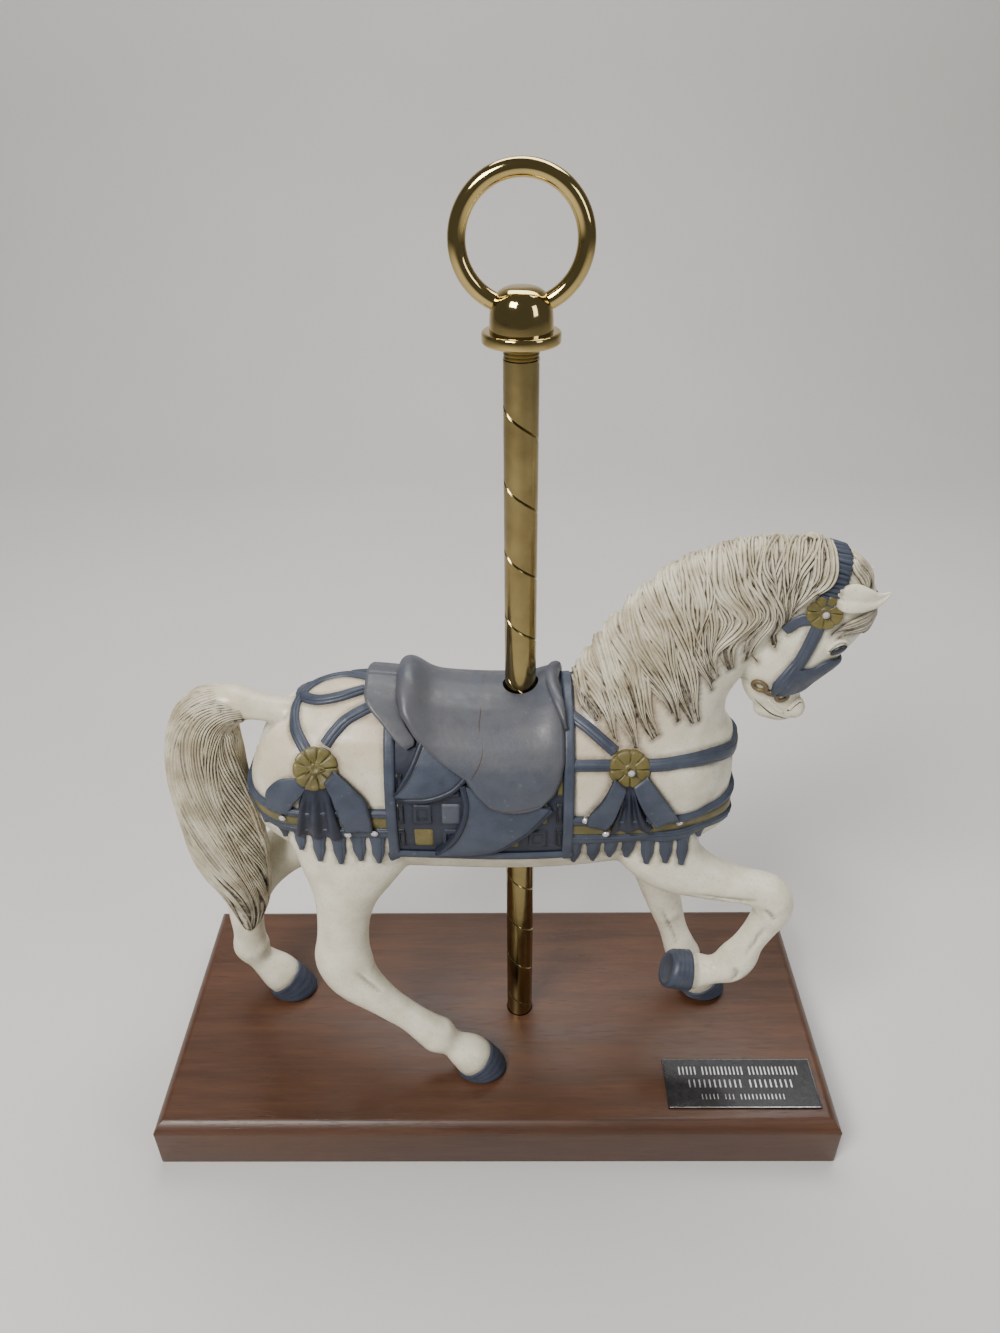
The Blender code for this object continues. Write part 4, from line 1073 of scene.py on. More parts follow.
def blanket_checks():
    """A lattice of squares, one in three gold and one pale; those at the border are cut narrow."""
    gold, frames, pale = [], [], []
    low_x, high_x = PANEL_REAR + BORDER + 0.2, PANEL_FRONT - BORDER - 0.2
    for side in (1, -1):
        for row, angle in enumerate(CHECK_ROWS):
            for column in range(-1, 6):
                middle = CHECK_FIRST + CHECK_PITCH * column
                first, final = max(middle - CHECK_HALF, low_x), min(middle + CHECK_HALF, high_x)
                if final - first < NARROWEST_CHECK:
                    continue
                plain = (column, row) == PALE_CHECK
                golden = (column + 2 * row) % 3 == 0 and column >= 0 and not plain
                lift, hollow = FLAT_CHECK if golden or plain else FRAME_CHECK
                tile = check_tile((first + final) / 2, angle, (final - first) / 2, CHECK_HALF_ANGLE,
                                  lift, hollow, side)
                (gold if golden else pale if plain else frames).append(tile)
    print("checks:", len(gold), "gold,", len(pale), "pale and", len(frames), "navy")
    return join("gold_checks", gold), join("navy_checks", frames), join("pale_checks", pale)


# %% Saddle
SKIRT_REAR = [(-39, 0), (-38.5, 14), (-36.5, 24), (-31, 34), (-21, 47), (-11, 57), (-7, 66), (-2, 74),
              (5, 78)]
SKIRT_FRONT = [(27.2, 0), (28.7, 14), (28.9, 24), (29, 34), (28.9, 47), (27.6, 57), (25, 66), (20, 74),
               (13, 78)]
CANTLE_X, SEAT_MIDDLE, POMMEL_X = -34, -6, 24.5


def edge_at(edge, angle):
    return float(np.interp(abs(angle), [row[1] for row in edge], [row[0] for row in edge]))


def seat_lift(x, angle):
    cantle = 6.2 * math.exp(-((x - CANTLE_X) / 7.0) ** 2) * math.exp(-(angle / 30) ** 2)
    pommel = 2.2 * math.exp(-((x - POMMEL_X) / 5.0) ** 2) * math.exp(-(angle / 30) ** 2)
    dish = 0.8 * math.exp(-((x - SEAT_MIDDLE) / 14) ** 2) * math.exp(-(angle / 24) ** 2)
    return 4.3 + cantle + pommel - dish


def saddle_skirt():
    low = SKIRT_REAR[-1][1]

    def spot(u, v):
        angle = (2 * v - 1) * low
        x0, x1 = edge_at(SKIRT_REAR, angle), edge_at(SKIRT_FRONT, angle)
        x = x0 + (x1 - x0) * u
        rim = rim_round(u, v, 2.2 / max(x1 - x0, 4.0), 0.02)
        bulge = 0.9 * math.sin(math.pi * u) * soft_step(20, 50, abs(angle))
        return around(x, angle, seat_lift(x, angle) + bulge - 1.5 * (1 - rim))

    return sheet("saddle_skirt", 74, 150, spot, 3.2)


PAD_REAR = [(-52, 0), (-51.7, 6), (-50.8, 17), (-43.7, 28), (-37.4, 37), (-34.2, 39.8)]
PAD_FRONT = [(-37, 0), (-37.5, 6), (-37, 17), (-34.5, 27), (-31, 34), (-31.2, 37.5)]
LEAVES = [([(-27, 32), (-31, 46), (-35, 57), (-39.5, 66.5)],
           [(-10, 54), (-16, 63), (-25, 68.5), (-33, 69), (-39.5, 67.5)]),
          ([(-12, 60), (-10.5, 74), (-13, 90), (-17.5, 103), (-24, 113.5)],
           [(24, 76), (16, 91), (8, 102), (-1, 111), (-12, 115), (-24, 114.5)])]


def pad_lift(u, v):
    return 5.4 - 1.3 * v - 0.7 * u


def saddle_pad():
    halves = []
    for side in (1, -1):
        halves.append(flap("pad", PAD_REAR, PAD_FRONT, pad_lift, 18, 44, 3.4, edge_u=0.07, edge_v=0.03,
                           side=side, crown=0.15))
    return join("saddle_pad", halves)


def leaf_flaps():
    leaves = []
    for side in (1, -1):
        for edge_a, edge_b in LEAVES:
            leaves.append(flap("leaf", edge_a, edge_b, 3.5, 34, 46, 2.4, edge_u=0.07, side=side, crown=0.5))
    return join("leaf_flaps", leaves)


RIM_SECTION = [(-1, -2.6), (-1, -0.1), (-0.7, 0.6), (0, 0.95), (0.7, 0.6), (1, -0.1), (1, -2.6)]
ROLL_EDGE = [(29.5, 30), (27.0, 18), (24.5, 8), (24.0, 0), (24.5, -8), (27.0, -18), (29.5, -30)]


def along_edge(edge, lift, width, name, side, height=1.0, steps=44, both_ends=False):
    """A raised rim that runs along an edge of (x, angle) corners."""
    rows = evenly(edge, steps)
    base = [around(x, side * angle, lift) for x, angle in rows]
    rings = []
    for index, place in enumerate(base):
        along = (base[min(index + 1, steps - 1)] - base[max(index - 1, 0)]).normalized()
        up = (place - at(place.x / MM, 0, AXIS_HEIGHT)).normalized()
        across = along.cross(up).normalized()
        share = index / (steps - 1)
        taper = 1 - 0.75 * soft_step(0.75, 1.0, share)
        if both_ends:
            taper *= 0.25 + 0.75 * soft_step(0.0, 0.25, share)
        sunk = (1 - taper) * 2.2 * MM if both_ends else 0
        rings.append([place + across * (u * width / 2 * taper * MM) + up * (v * height * MM - sunk)
                      for u, v in RIM_SECTION])
    return tube(name, rings)


def leaf_rims():
    rims = []
    for side in (1, -1):
        rims.append(along_edge(LEAVES[0][0], 3.3, 2.6, "rim", side))
        rims.append(along_edge(LEAVES[0][1], 3.3, 2.4, "rim", side))
        rims.append(along_edge(LEAVES[1][0], 3.3, 2.6, "rim", side))
        rims.append(along_edge(LEAVES[1][1], 3.0, 1.5, "rim", side, 0.7))
    return join("leaf_rims", rims)


def pommel_roll():
    return along_edge(ROLL_EDGE, 6.4, 4.4, "pommel_roll", 1, 1.2, 60, both_ends=True)


CRACKS = [[(-3, 13, 229), (-4, 0, 232)], [(-5, -12, 230), (-5, -17, 227.5), (-4.6, -23, 223)],
          [(-4, -26, 220), (-5, -31, 213), (-8, -34, 208)],
          [(-15, -33, 201), (-10, -35, 199), (-5, -37, 197), (7, -38, 195), (19, -37, 197)]]


def crack_section(share):
    half = 0.16 * math.sin(math.pi * (0.08 + 0.84 * share)) + 0.04
    return [(-half, -0.4), (-half, 0.05), (half, 0.05), (half, -0.4)]


def saddle_cracks(surface):
    lines = []
    for route in CRACKS:
        jagged = [(x + 0.4 * math.sin(7 * i), y, z) for i, (x, y, z) in enumerate(evenly(route, 9))]
        lines.append(tube("crack", strap_rings(surface, jagged, crack_section, 30)))
    return join("saddle_cracks", lines)


# %% Lay the saddlery
BORE_FLOOR, BORE_TOP, BODY_PLAY, SKIRT_PLAY = 110 * MM, 262 * MM, 0.6 * MM, 1.0 * MM
field, border = blanket_field(), blanket_border()
gold_checks, navy_checks, pale_checks = blanket_checks()
skirt, pad, leaves, rims, roll = saddle_skirt(), saddle_pad(), leaf_flaps(), leaf_rims(), pommel_roll()
cracks = saddle_cracks(skin_of(skirt))
for piece in (body, field, skirt, roll):
    bored(piece, POLE_RADIUS + (SKIRT_PLAY if piece is skirt else BODY_PLAY), BORE_FLOOR, BORE_TOP)
# Wash and painted shade for each piece of saddlery: the depth at which it is full, and the pieces beside it.
SADDLERY_WASH_AND_SHADE = [(field, 0.3, (border, gold_checks, navy_checks, pale_checks)),
                 (border, 0.35, (skirt, pad)),
                 (gold_checks, 0.25, ()),
                 (pale_checks, 0.25, ()),
                 (navy_checks, 0.25, ()),
                 (skirt, 0.5, (pad,)),
                 (pad, 0.5, (skirt,)),
                 (leaves, 0.4, (skirt, rims)),
                 (rims, 0.3, ()),
                 (roll, 0.4, ())]
for piece, depth, near in SADDLERY_WASH_AND_SHADE:
    lay_wash_and_shade(piece, depth, beside=near, reach=0.9)
lay_wash_and_shade(cracks, 0.2, least=0.8)
keep_painted(NAVY, 50, field)
keep_painted(SLATE, 50, border)
keep_painted(GOLD, 50, gold_checks)
keep_painted(SEAT, 50, pale_checks)
keep_painted(NAVY, 50, navy_checks)
keep_painted(SEAT, 60, skirt, pad)
keep_painted(SLATE, 60, leaves)
keep_painted(NAVY, 60, rims)
keep_painted(SEAT, 60, roll)
keep_painted(DARK, 60, cracks)

# %% [markdown]
# ## Harness
# A belt of three bands runs round the chest and behind the haunch, with pointed tongues hanging from
# it. Narrow straps cross the shoulder and the croup and meet under a flower boss, from which three
# ribbons fall over the belt. Straps are a flat section carried along a route on the skin.

# %% Belts and straps
REAR_BELT = [(-104, 0, 186), (-102.5, -9, 185.5), (-97, -19, 185), (-88, -28, 184.5), (-78, -32, 184.8),
             (-62, -34, 185), (-42, -34, 185.2)]
FRONT_BELT = [(31, -34, 181.5), (44, -34, 180.5), (61, -33, 179), (77, -29, 178.3), (89, -23, 178.8),
              (97, -13, 179.5), (101, 0, 180)]
STRAPS = [[(-74, -25, 214), (-80, -16, 220), (-81.5, -8, 223.5), (-80.5, -2, 226), (-77, 4, 228),
           (-71, 8, 229.5), (-62, 8, 230.5), (-52, 4.5, 232)],
          [(-67, -23, 217.5), (-63, -20, 222), (-58, -16.7, 225.5), (-49, -13, 229.5)],
          [(31, -15, 227.3), (39.5, -20.5, 222.3), (49, -26, 215.5)],
          [(31, -29.5, 211), (50, -29, 210.5)]]
CHEST_STRAP = [(62, -29, 210.5), (69, -29, 211), (75, -28, 211.5), (85, -24, 210.4), (90.5, -20, 208.9),
               (94.5, -14, 206.8), (97, -7, 204.6), (97.5, 0, 203.8)]


def near_side(route):
    return route


def other_side(route):
    return [(row[0], -row[1], row[2]) for row in route]


def lowered(route, drop):
    return [(row[0], row[1], row[2] - drop) for row in route]


def flared(share):
    """The chest strap widens towards the breast."""
    return 0.84 + 0.30 * soft_step(0.2, 0.75, share) + 0.75 * soft_step(0.80, 1.0, share)


RAIL_BANDS = [(-5.4, 3.8, 1.9), (-6.1, 1.5, 2.25), (4.6, 5.4, 1.75), (3.3, 1.5, 2.15)]
GOLD_BAND = (-0.9, 6.2, 1.45)


def harness_bands():
    """A band is how far it lies below the belt's route, its width and its lift. Straps are two bands,
    a narrow one on a wide one."""
    rails, gold, straps = [], [], []
    for turn in (near_side, other_side):
        for belt in (REAR_BELT, FRONT_BELT):
            for drop, width, lift in RAIL_BANDS:
                rails.append(strap("rail", turn(lowered(belt, drop)), width, lift))
            gold.append(strap("gold", turn(lowered(belt, GOLD_BAND[0])), *GOLD_BAND[1:]))
        for route in STRAPS:
            straps.append(strap("strap", turn(route), 4.8, 1.25))
            straps.append(strap("strap", turn(route), 2.6, 1.8))
        straps.append(strap("strap", turn(CHEST_STRAP), 6.4, 1.3, taper=flared))
        straps.append(strap("strap", turn(CHEST_STRAP), 4.0, 1.75, taper=flared))
    return join("belt_rails", rails), join("belt_gold", gold), join("harness_straps", straps)


TONGUE_ROWS = [(-97.5, -48, 7, 99.5, 99.5, 122.0), (34.0, 88, 8, 104.0, 112.5, 131.5)]
TONGUE_WIDTH = 5.9


def pointed(share):
    """A tongue is widest at the belt, narrows a little and then rounds off to its tip."""
    return 1.30 - 0.38 * soft_step(0.0, 0.45, share) - 0.52 * soft_step(0.60, 1.0, share)


def belt_tongues():
    """Each row has its first and last x, a count, the angles of its tops at both ends and of its tips."""
    tongues = []
    for side in (1, -1):
        for first, final, count, top_rear, top_front, tip in TONGUE_ROWS:
            for index in range(count):
                share = index / (count - 1)
                x = first + (final - first) * share
                top = top_rear + (top_front - top_rear) * share
                low = tip + 1.5 * math.sin(2.3 * index)
                lean = 0.5 * math.sin(1.7 * index)
                route = [tuple(around(x + lean * k / 4, side * (top + (low - top) * k / 4), 0) / MM)
                         for k in range(5)]
                wide = TONGUE_WIDTH * (1 + 0.06 * math.sin(3.1 * index))
                tongues.append(strap("tongue", route, wide, 1.15, count=18, taper=pointed, sink=1.6))
                tongues.append(strap("tongue", route, wide * 0.62, 1.45, count=18, taper=pointed))
    print("tongues:", len(tongues) // 2)
    return join("belt_tongues", tongues)


# %% Ribbons
RIBBONS = [([(-78, 55), (-86, 56), (-92, 64), (-93, 73), (-90, 82)],
            [(-75, 62), (-77, 67), (-80, 72), (-82, 77), (-84.5, 84)], 3.0, "slate", 0.5),
           ([(-75.5, 60), (-78, 74), (-80, 88), (-82, 104)],
            [(-65, 60), (-63.5, 76), (-62.5, 90), (-61.5, 102)], 2.9, "navy", 0.0),
           ([(-67.5, 58), (-65, 68), (-62.8, 81), (-60.5, 95)],
            [(-63.5, 50), (-55, 62), (-50.3, 73), (-49, 94)], 4.0, "slate", 3.0),
           ([(49, 56), (43.3, 73), (38.5, 82), (38.2, 89)],
            [(54, 63), (52, 74), (49.7, 85), (46, 94)], 4.0, "slate", 1.0),
           ([(56.5, 62), (59.2, 73), (63.2, 86), (67, 97)],
            [(62, 55), (67.8, 67), (73.3, 80), (76.3, 90)], 4.0, "slate", 1.0),
           ([(53, 61), (51.5, 76), (49.5, 88), (48, 98)],
            [(57.5, 61), (60, 76), (63.5, 90), (67, 100)], 2.9, "navy", 0.0)]
FOLDS = {"navy": (2.5, 0.95), "slate": (0.5, 0.25)}


def ribbons():
    """Each ribbon has its two edges, its lift, its colour and how many creases cross it. The navy ones
    are pleated, and the slate ones dip in the middle of their ends."""
    slate, navy = [], []
    for side in (1, -1):
        for left, right, lift, colour, creases in RIBBONS:
            folds, wave = FOLDS[colour]

            def height(u, v, lift=lift, folds=folds, wave=wave, creases=creases):
                rise = lift + wave * math.sin(2 * math.pi * folds * u + 1.2) * soft_step(0.02, 0.35, v)
                if creases:
                    rise += 0.30 * math.sin(2 * math.pi * creases * v + 2 * u) * soft_step(0.1, 0.3, v)
                    rise -= 0.9 * soft_step(0.90, 1.0, v) * (1 - abs(2 * u - 1))
                return rise

            piece = flap("ribbon", left, right, height, 28, 34, 3.4, edge_u=0.09, edge_v=0.04, side=side)
            (slate if colour == "slate" else navy).append(piece)
    return join("slate_ribbons", slate), join("navy_ribbons", navy)


# %% Flower bosses
REAR_BOSS = (-71, -29, 210)
ROSETTES = [(REAR_BOSS, 9.0, 2.6, 9), ((55, -29, 209), 8.4, 2.6, 8), ((127.0, -12, 271), 7.0, 2.0, 8)]
ROSETTE_PROFILE = [(0.95, -2.2), (0.985, 0.25), (1.0, 0.55), (0.985, 0.78), (0.93, 0.94), (0.82, 1.0),
                   (0.68, 0.99), (0.54, 0.96), (0.44, 0.92), (0.36, 0.88), (0.31, 0.84), (0.28, 0.88),
                   (0.25, 0.98), (0.20, 1.04), (0.13, 1.02), (0.09, 0.92), (0.03, 0.88)]
CURLS, CURL_STEPS = 7, 8


def rosette(place, radius, lift, petals, side):
    """A circle extruded inward ring by ring into a flat flower, with thin uneven grooves between petals."""
    hit, normal = nearest(skin, at(place[0], place[1] * side, place[2]))
    seat = Matrix.Translation(hit) @ normal.to_track_quat("Z", "Y").to_matrix().to_4x4()
    count = petals * 16
    rings = []
    for share, rise in ROSETTE_PROFILE:
        ring = []
        for index in range(count):
            turn = 2 * math.pi * index / count
            petal = abs(math.sin(petals * turn / 2 + 0.12 * math.sin(5 * turn)))
            notch = 1 - 0.055 * (1 - petal) ** 2 * soft_step(0.5, 1.0, share)
            groove = 0.34 * (1 - petal) ** 5 * soft_step(0.26, 0.5, share) * (1 if rise > 0 else 0)
            groove += 0.05 * math.sin(3 * turn + 9 * share) * (share > 0.3)
            height = lift * (rise - groove) if rise > 0 else rise
            reach = radius * share * notch
            ring.append(seat @ (Vector((math.cos(turn) * reach, math.sin(turn) * reach, height)) * MM))
        rings.append(ring)
    return tube("rosette", rings)


def rear_curls(side):
    """Small curled leaves that are set irregularly on the rear boss."""
    hit, normal = nearest(skin, at(REAR_BOSS[0], REAR_BOSS[1] * side, REAR_BOSS[2]))
    seat = hit + normal * 2.35 * MM
    across = normal.cross(Vector((0, 0, 1))).normalized()
    upward = across.cross(normal).normalized()
    curls = []
    for index in range(CURLS):
        turn = 2 * math.pi * (index / CURLS + 0.04 * math.sin(5 * index))
        rings = []
        for step in range(CURL_STEPS + 1):
            share = step / CURL_STEPS
            reach = (1.1 + 3.6 * share) * MM
            bend = turn + 0.55 * share * (1 if index % 2 else -1)
            centre = seat + (across * math.cos(bend) + upward * math.sin(bend)) * reach
            half = (0.55 * math.sin(math.pi * (0.12 + 0.80 * share)) + 0.08) * MM
            tangent = (upward * math.cos(bend) - across * math.sin(bend)).normalized()
            rings.append([centre + tangent * half * u + normal * half * v
                          for u, v in ((-1, -0.9), (-0.8, 0.3), (0, 0.9), (0.8, 0.3), (1, -0.9))])
        curls.append(tube("curl", rings))
    return curls


def flower_bosses():
    bosses = [rosette(*row, side) for row in ROSETTES for side in (1, -1)]
    for side in (1, -1):
        bosses += rear_curls(side)
    return join("flower_bosses", bosses)


rails, belt_gold, straps = harness_bands()
tongues = belt_tongues()
slate_ribbons, navy_ribbons = ribbons()
bosses = flower_bosses()

# %% [markdown]
# ## Bridle and bits
# A ribbed strap crosses the poll between the ears, a wide cheek strap runs down to the bit, and the
# noseband is a slate patch over the nose. The bit's rings are small gilt turnings, joined by a bar.
# The eyes are flattened spheres, and lids, folds and cuts are fine straps laid on the skin. A dark line under
# each ear is a painted shadow, laid the same way.

# %% Bridle
CROWN = [(126.5, 12.5, 274), (128.5, 12.2, 277.6), (130.6, 10.8, 284.9), (132, 7.7, 289.5), (132, 0, 292.5),
         (132, -7.7, 289.5), (130.6, -10.8, 284.9), (128.5, -12.2, 277.6), (126.5, -12.5, 274)]
CHEEK = [(125.8, -13, 266), (123.2, -12.5, 255.5), (120.6, -12.3, 247.3), (116.8, -12.4, 241),
         (113.0, -11, 233.6)]
NOSE_UPPER = [(137, 0, 247), (134.5, -8.5, 247.4), (131.5, -10.9, 246.6), (128.5, -11.2, 244.3),
              (125, -11.8, 243.8), (119.5, -12.5, 244.8)]
NOSE_LOWER = [(136, 0, 244), (133, -6.5, 242), (129, -6.5, 236.5), (125.5, -7.5, 233.6), (121, -9.5, 232.4),
              (114.5, -11, 233)]
THROAT = [(125, -13, 268), (120.6, -11.8, 267.2), (117.5, -10.8, 265.5), (113.8, -9.4, 261.5)]


NOSE_STEPS = 24


def nose_patch():
    upper, lower = evenly(NOSE_UPPER, NOSE_STEPS + 1), evenly(NOSE_LOWER, NOSE_STEPS + 1)

    def spot(u, v):
        step = min(int(u * NOSE_STEPS), NOSE_STEPS - 1)
        part = u * NOSE_STEPS - step
        top = upper[step] * (1 - part) + upper[step + 1] * part
        low = lower[step] * (1 - part) + lower[step + 1] * part
        hit, normal = nearest(skin, Vector(top * (1 - v) + low * v) * MM)
        return hit + normal * (0.35 + 0.75 * rim_round(u, v, 0.06, 0.16)) * MM

    near = sheet("nose_patch", 32, 12, spot, 1.4)
    far = sheet("nose_patch", 32, 12, lambda u, v: Vector((1, -1, 1)) * spot(u, v), 1.4)
    return join("nose_patch", [near, far])


def cheek_width(share):
    """The cheek strap widens to a rounded patch over the bit."""
    return (0.92 + 0.42 * soft_step(0.45, 0.8, share)) * (1 - 0.55 * soft_step(0.86, 1.0, share))


def bridle_straps():
    straps = [strap("crown", CROWN, 8.4, 1.7, ribs=27, rib_depth=0.5)]
    for turn in (near_side, other_side):
        straps.append(strap("cheek", turn(CHEEK), 5.6, 1.3, taper=cheek_width))
        straps.append(strap("cheek", turn(CHEEK), 3.2, 1.75, taper=cheek_width))
        straps.append(strap("throat", turn(THROAT), 5.0, 1.3))
        straps.append(strap("nose_line", turn(NOSE_LOWER), 1.4, 1.5))
        straps.append(strap("nose_line", turn(NOSE_UPPER), 1.3, 1.5))
    return join("bridle_straps", straps)


BIT_RINGS = [((107.2, -10.7, 236.9), 2.7), ((117.4, -9.8, 229.9), 2.3), ((112.2, -10.4, 233.4), 1.0)]
BIT_BAR = [(109, -10.4, 235.4), (112, -10.4, 233.4), (115.5, -10, 231.2)]
BIT_THICKNESS, BIT_LIFT = 1.9 * MM, 0.5 * MM


def bit_rings():
    pieces = []
    for turn in (near_side, other_side):
        for place, radius in BIT_RINGS:
            hit, normal = nearest(skin, at(*turn([place])[0]))
            drop_selection()
            bpy.ops.mesh.primitive_torus_add(major_segments=32, minor_segments=12, major_radius=radius * MM,
                                             minor_radius=BIT_THICKNESS / 2, location=hit + normal * BIT_LIFT,
                                             rotation=normal.to_track_quat("Z", "Y").to_euler())
            pieces.append(started("bit_ring"))
        pieces.append(strap("bit_bar", turn(BIT_BAR), 2.4, 1.5, count=10))
    return join("bit_rings", pieces)


# %% Eyes, nostrils and mouth
EYE, EYE_LENGTH, EYE_HEIGHT, EYE_BULGE = (134.7, -11.8, 254.7), 7.2, 4.6, 2.4
EYE_AXIS = (0.80, 0, 0.42)


def eye(side):
    hit, normal = nearest(skin, at(EYE[0], EYE[1] * side, EYE[2]))
    drop_selection()
    bpy.ops.mesh.primitive_uv_sphere_add(segments=28, ring_count=16, radius=MM)
    piece = bpy.context.object
    piece.name = "eye"
    for corner in piece.data.vertices:
        x, y, z = corner.co / MM
        point = 1 - 0.30 * abs(x) ** 2.5
        corner.co = Vector((x * EYE_LENGTH / 2, y * EYE_HEIGHT / 2 * point, z * EYE_BULGE / 2)) * MM
    along = Vector(EYE_AXIS).normalized()
    across = normal.cross(along).normalized()
    along = across.cross(normal).normalized()
    turn = Matrix((along, across, normal)).transposed().to_4x4()
    piece.data.transform(Matrix.Translation(hit + normal * 0.1 * MM) @ turn)
    return piece


EYELIDS = [[(130.4, -12.6, 254.0), (132.6, -12.8, 257.2), (135.6, -12.2, 258.4), (139.2, -10.2, 256.0)],
           [(130.6, -12.6, 253.4), (133.2, -12.4, 251.9), (136.8, -10.8, 250.9), (139.2, -9.8, 254.4)]]
NOSTRIL = [(121.4, -7.1, 221.6), (123.2, -6.7, 223.8), (125.4, -6.2, 225.4), (127.3, -5.4, 225.0)]
MOUTH = [(107.8, -5.3, 226.4), (111.2, -5.5, 222.9), (114.7, -6.2, 220.2), (119.0, -5.6, 218.6),
         (122.5, -3.4, 217.2)]
# The dark line under each ear is a painted shadow of the ear.
EAR_SHADE = [(131.0, -13.4, 273.6), (135.0, -14.0, 273.0), (140.0, -14.0, 272.8), (145.5, -12.4, 273.4)]
FACE_FOLDS = [[(112.6, -8.2, 228.0), (116.2, -7.4, 223.6), (119.4, -7.2, 221.2)],
              [(124.0, -9.8, 240.5), (121.5, -9.6, 236.0), (120.5, -8.9, 231.0), (121.5, -7.6, 227.0)]]


def slit_width(share):
    """Cut lines and the painted shadow under the ear run out to a point at both ends."""
    return 0.25 + 0.75 * math.sin(math.pi * (0.06 + 0.88 * share))


def face_details():
    eyes, lids, slits_and_ear_shadow = [], [], []
    nostril_rim = [(x + 0.2, y - 0.2, z + 1.0) for x, y, z in NOSTRIL]
    for side, turn in ((1, near_side), (-1, other_side)):
        eyes.append(eye(side))
        for route in EYELIDS:
            lids.append(strap("lid", turn(route), 1.3, 1.0, count=18))
        lids.append(strap("nostril_rim", turn(nostril_rim), 1.5, 0.8, count=14))
        slits_and_ear_shadow.append(strap("nostril", turn(NOSTRIL), 1.5, 0.22, count=14, taper=slit_width))
        slits_and_ear_shadow.append(strap("mouth", turn(MOUTH), 0.8, 0.12, count=18, taper=slit_width))
        # A painted shadow under the ear.
        slits_and_ear_shadow.append(strap("ear_shade", turn(EAR_SHADE), 1.0, 0.25, count=18, taper=slit_width))
        for route in FACE_FOLDS:
            lids.append(strap("fold", turn(route), 2.2, 0.75, count=18, taper=slit_width))
    return join("eyes", eyes), join("eyelids", lids), join("nostrils_mouth_and_ear_shadow", slits_and_ear_shadow)


nose, bridle, bits = nose_patch(), bridle_straps(), bit_rings()
eyes, eyelids, slits_and_ear_shadow = face_details()

# %% [markdown]
# ## Ears and hooves
# An ear is a hollow leaf that lies along the head, and a hoof is a horn cone with growth rings and a
# rounded edge. Both are a ring carried from station to station, as the limbs were. An ear's station is
# x, y, z, half its height and half its thickness, and a hoof has a ring at its coronet and one at its
# sole, each a centre, the way that it faces, and two half sizes.

# %% Ears
EAR_STATIONS = [(130.8, 12.2, 277.0, 3.4, 1.7), (133.2, 13.2, 277.2, 5.2, 2.1),
                (136.8, 13.5, 277.4, 5.7, 2.3), (141, 13.3, 276.7, 4.8, 2.2),
                (145.3, 12.3, 276.2, 3.2, 1.7), (148.6, 11.3, 276.9, 1.7, 1.1),
                (151.0, 10.4, 278.4, 0.4, 0.4)]
EAR_SIDES = 28


def ear(side):
    """A leaf whose outer face is hollow and whose tip curls up."""
    path = flowing(EAR_STATIONS, 6)
    centres = [at(row[0], -row[1] * side, row[2]) for row in path]
    last = len(path) - 1
    rings = []
    for index, row in enumerate(path):
        along = (centres[min(index + 1, last)] - centres[max(index - 1, 0)]).normalized()
        out = Vector((0.0, -0.92 * side, 0.25))
        out = (out - along * out.dot(along)).normalized()
        tall = out.cross(along).normalized() * side
        ring = []
        for step in range(EAR_SIDES):
            turn = 2 * math.pi * step / EAR_SIDES
            bulge = row[4] * math.sin(turn)
            if bulge > 0:
                bulge *= 0.30 + 0.70 * abs(math.cos(turn)) ** 0.8
            ring.append(centres[index] + tall * (row[3] * math.cos(turn) * MM) + out * (bulge * MM))
        rings.append(ring)
    return tube("ear", rings)


ears = join("ears", [ear(1), ear(-1)])

# %% Hooves
HOOF_STEPS, HOOF_RIPPLES = 14, 4
HOOVES = [(((-10.6, -36, 34.2), (0.62, 0, -0.78), 10.6, 10.0), ((-6.8, -36, 28.8), (0, 0, -1), 11.8, 10.6)),
          (((-112.8, 12, 36.6), (0.65, 0, -0.76), 10.6, 10.0), ((-108.2, 12, 28.8), (0, 0, -1), 12, 10.6)),
          (((106.6, 11, 35.4), (0.4, 0, -0.9), 10.4, 10.0), ((108.5, 10.5, 30.8), (0, 0, -1), 11.8, 10.4)),
          (((91.5, -23, 82.5), (-1, 0, 0.10), 9.6, 9.4), ((81.5, -23, 84), (-0.93, 0, 0.36), 9.4, 9.0))]


def hoof_ring(centre, facing, deep_half, wide_half, sides=40):
    along = Vector(facing).normalized()
    deep = along.cross(Vector((0, 1, 0))).normalized()
    wide = deep.cross(along).normalized()
    return [at(*centre) + deep * (deep_half * MM * math.cos(2 * math.pi * k / sides))
            + wide * (wide_half * MM * math.sin(2 * math.pi * k / sides)) for k in range(sides)]


def hoof(coronet, sole):
    """Extruded from the coronet to the sole, with growth rings, then closed with a rounded edge."""
    start = Vector(coronet[0]) - Vector(coronet[1]).normalized() * 1.4
    rings = [hoof_ring(tuple(start), coronet[1], coronet[2] * 0.8, coronet[3] * 0.8)]
    for index in range(HOOF_STEPS + 1):
        share = index / HOOF_STEPS
        centre = Vector(coronet[0]).lerp(Vector(sole[0]), share)
        facing = Vector(coronet[1]).lerp(Vector(sole[1]), share)
        ripple = 1 + 0.010 * math.sin(2 * math.pi * HOOF_RIPPLES * share) - 0.05 * (index == HOOF_STEPS)
        rings.append(hoof_ring(tuple(centre), facing, (coronet[2] + (sole[2] - coronet[2]) * share) * ripple,
                               (coronet[3] + (sole[3] - coronet[3]) * share) * ripple))
    below = Vector(sole[0]) + Vector(sole[1]).normalized() * 0.6
    rings.append(hoof_ring(tuple(below), sole[1], sole[2] * 0.90, sole[3] * 0.90))
    rings.append(hoof_ring(tuple(below), sole[1], sole[2] * 0.70, sole[3] * 0.70))
    hollow = below - Vector(sole[1]).normalized() * 0.5
    rings.append(hoof_ring(tuple(hollow), sole[1], sole[2] * 0.62, sole[3] * 0.62))
    return tube("hoof", rings)


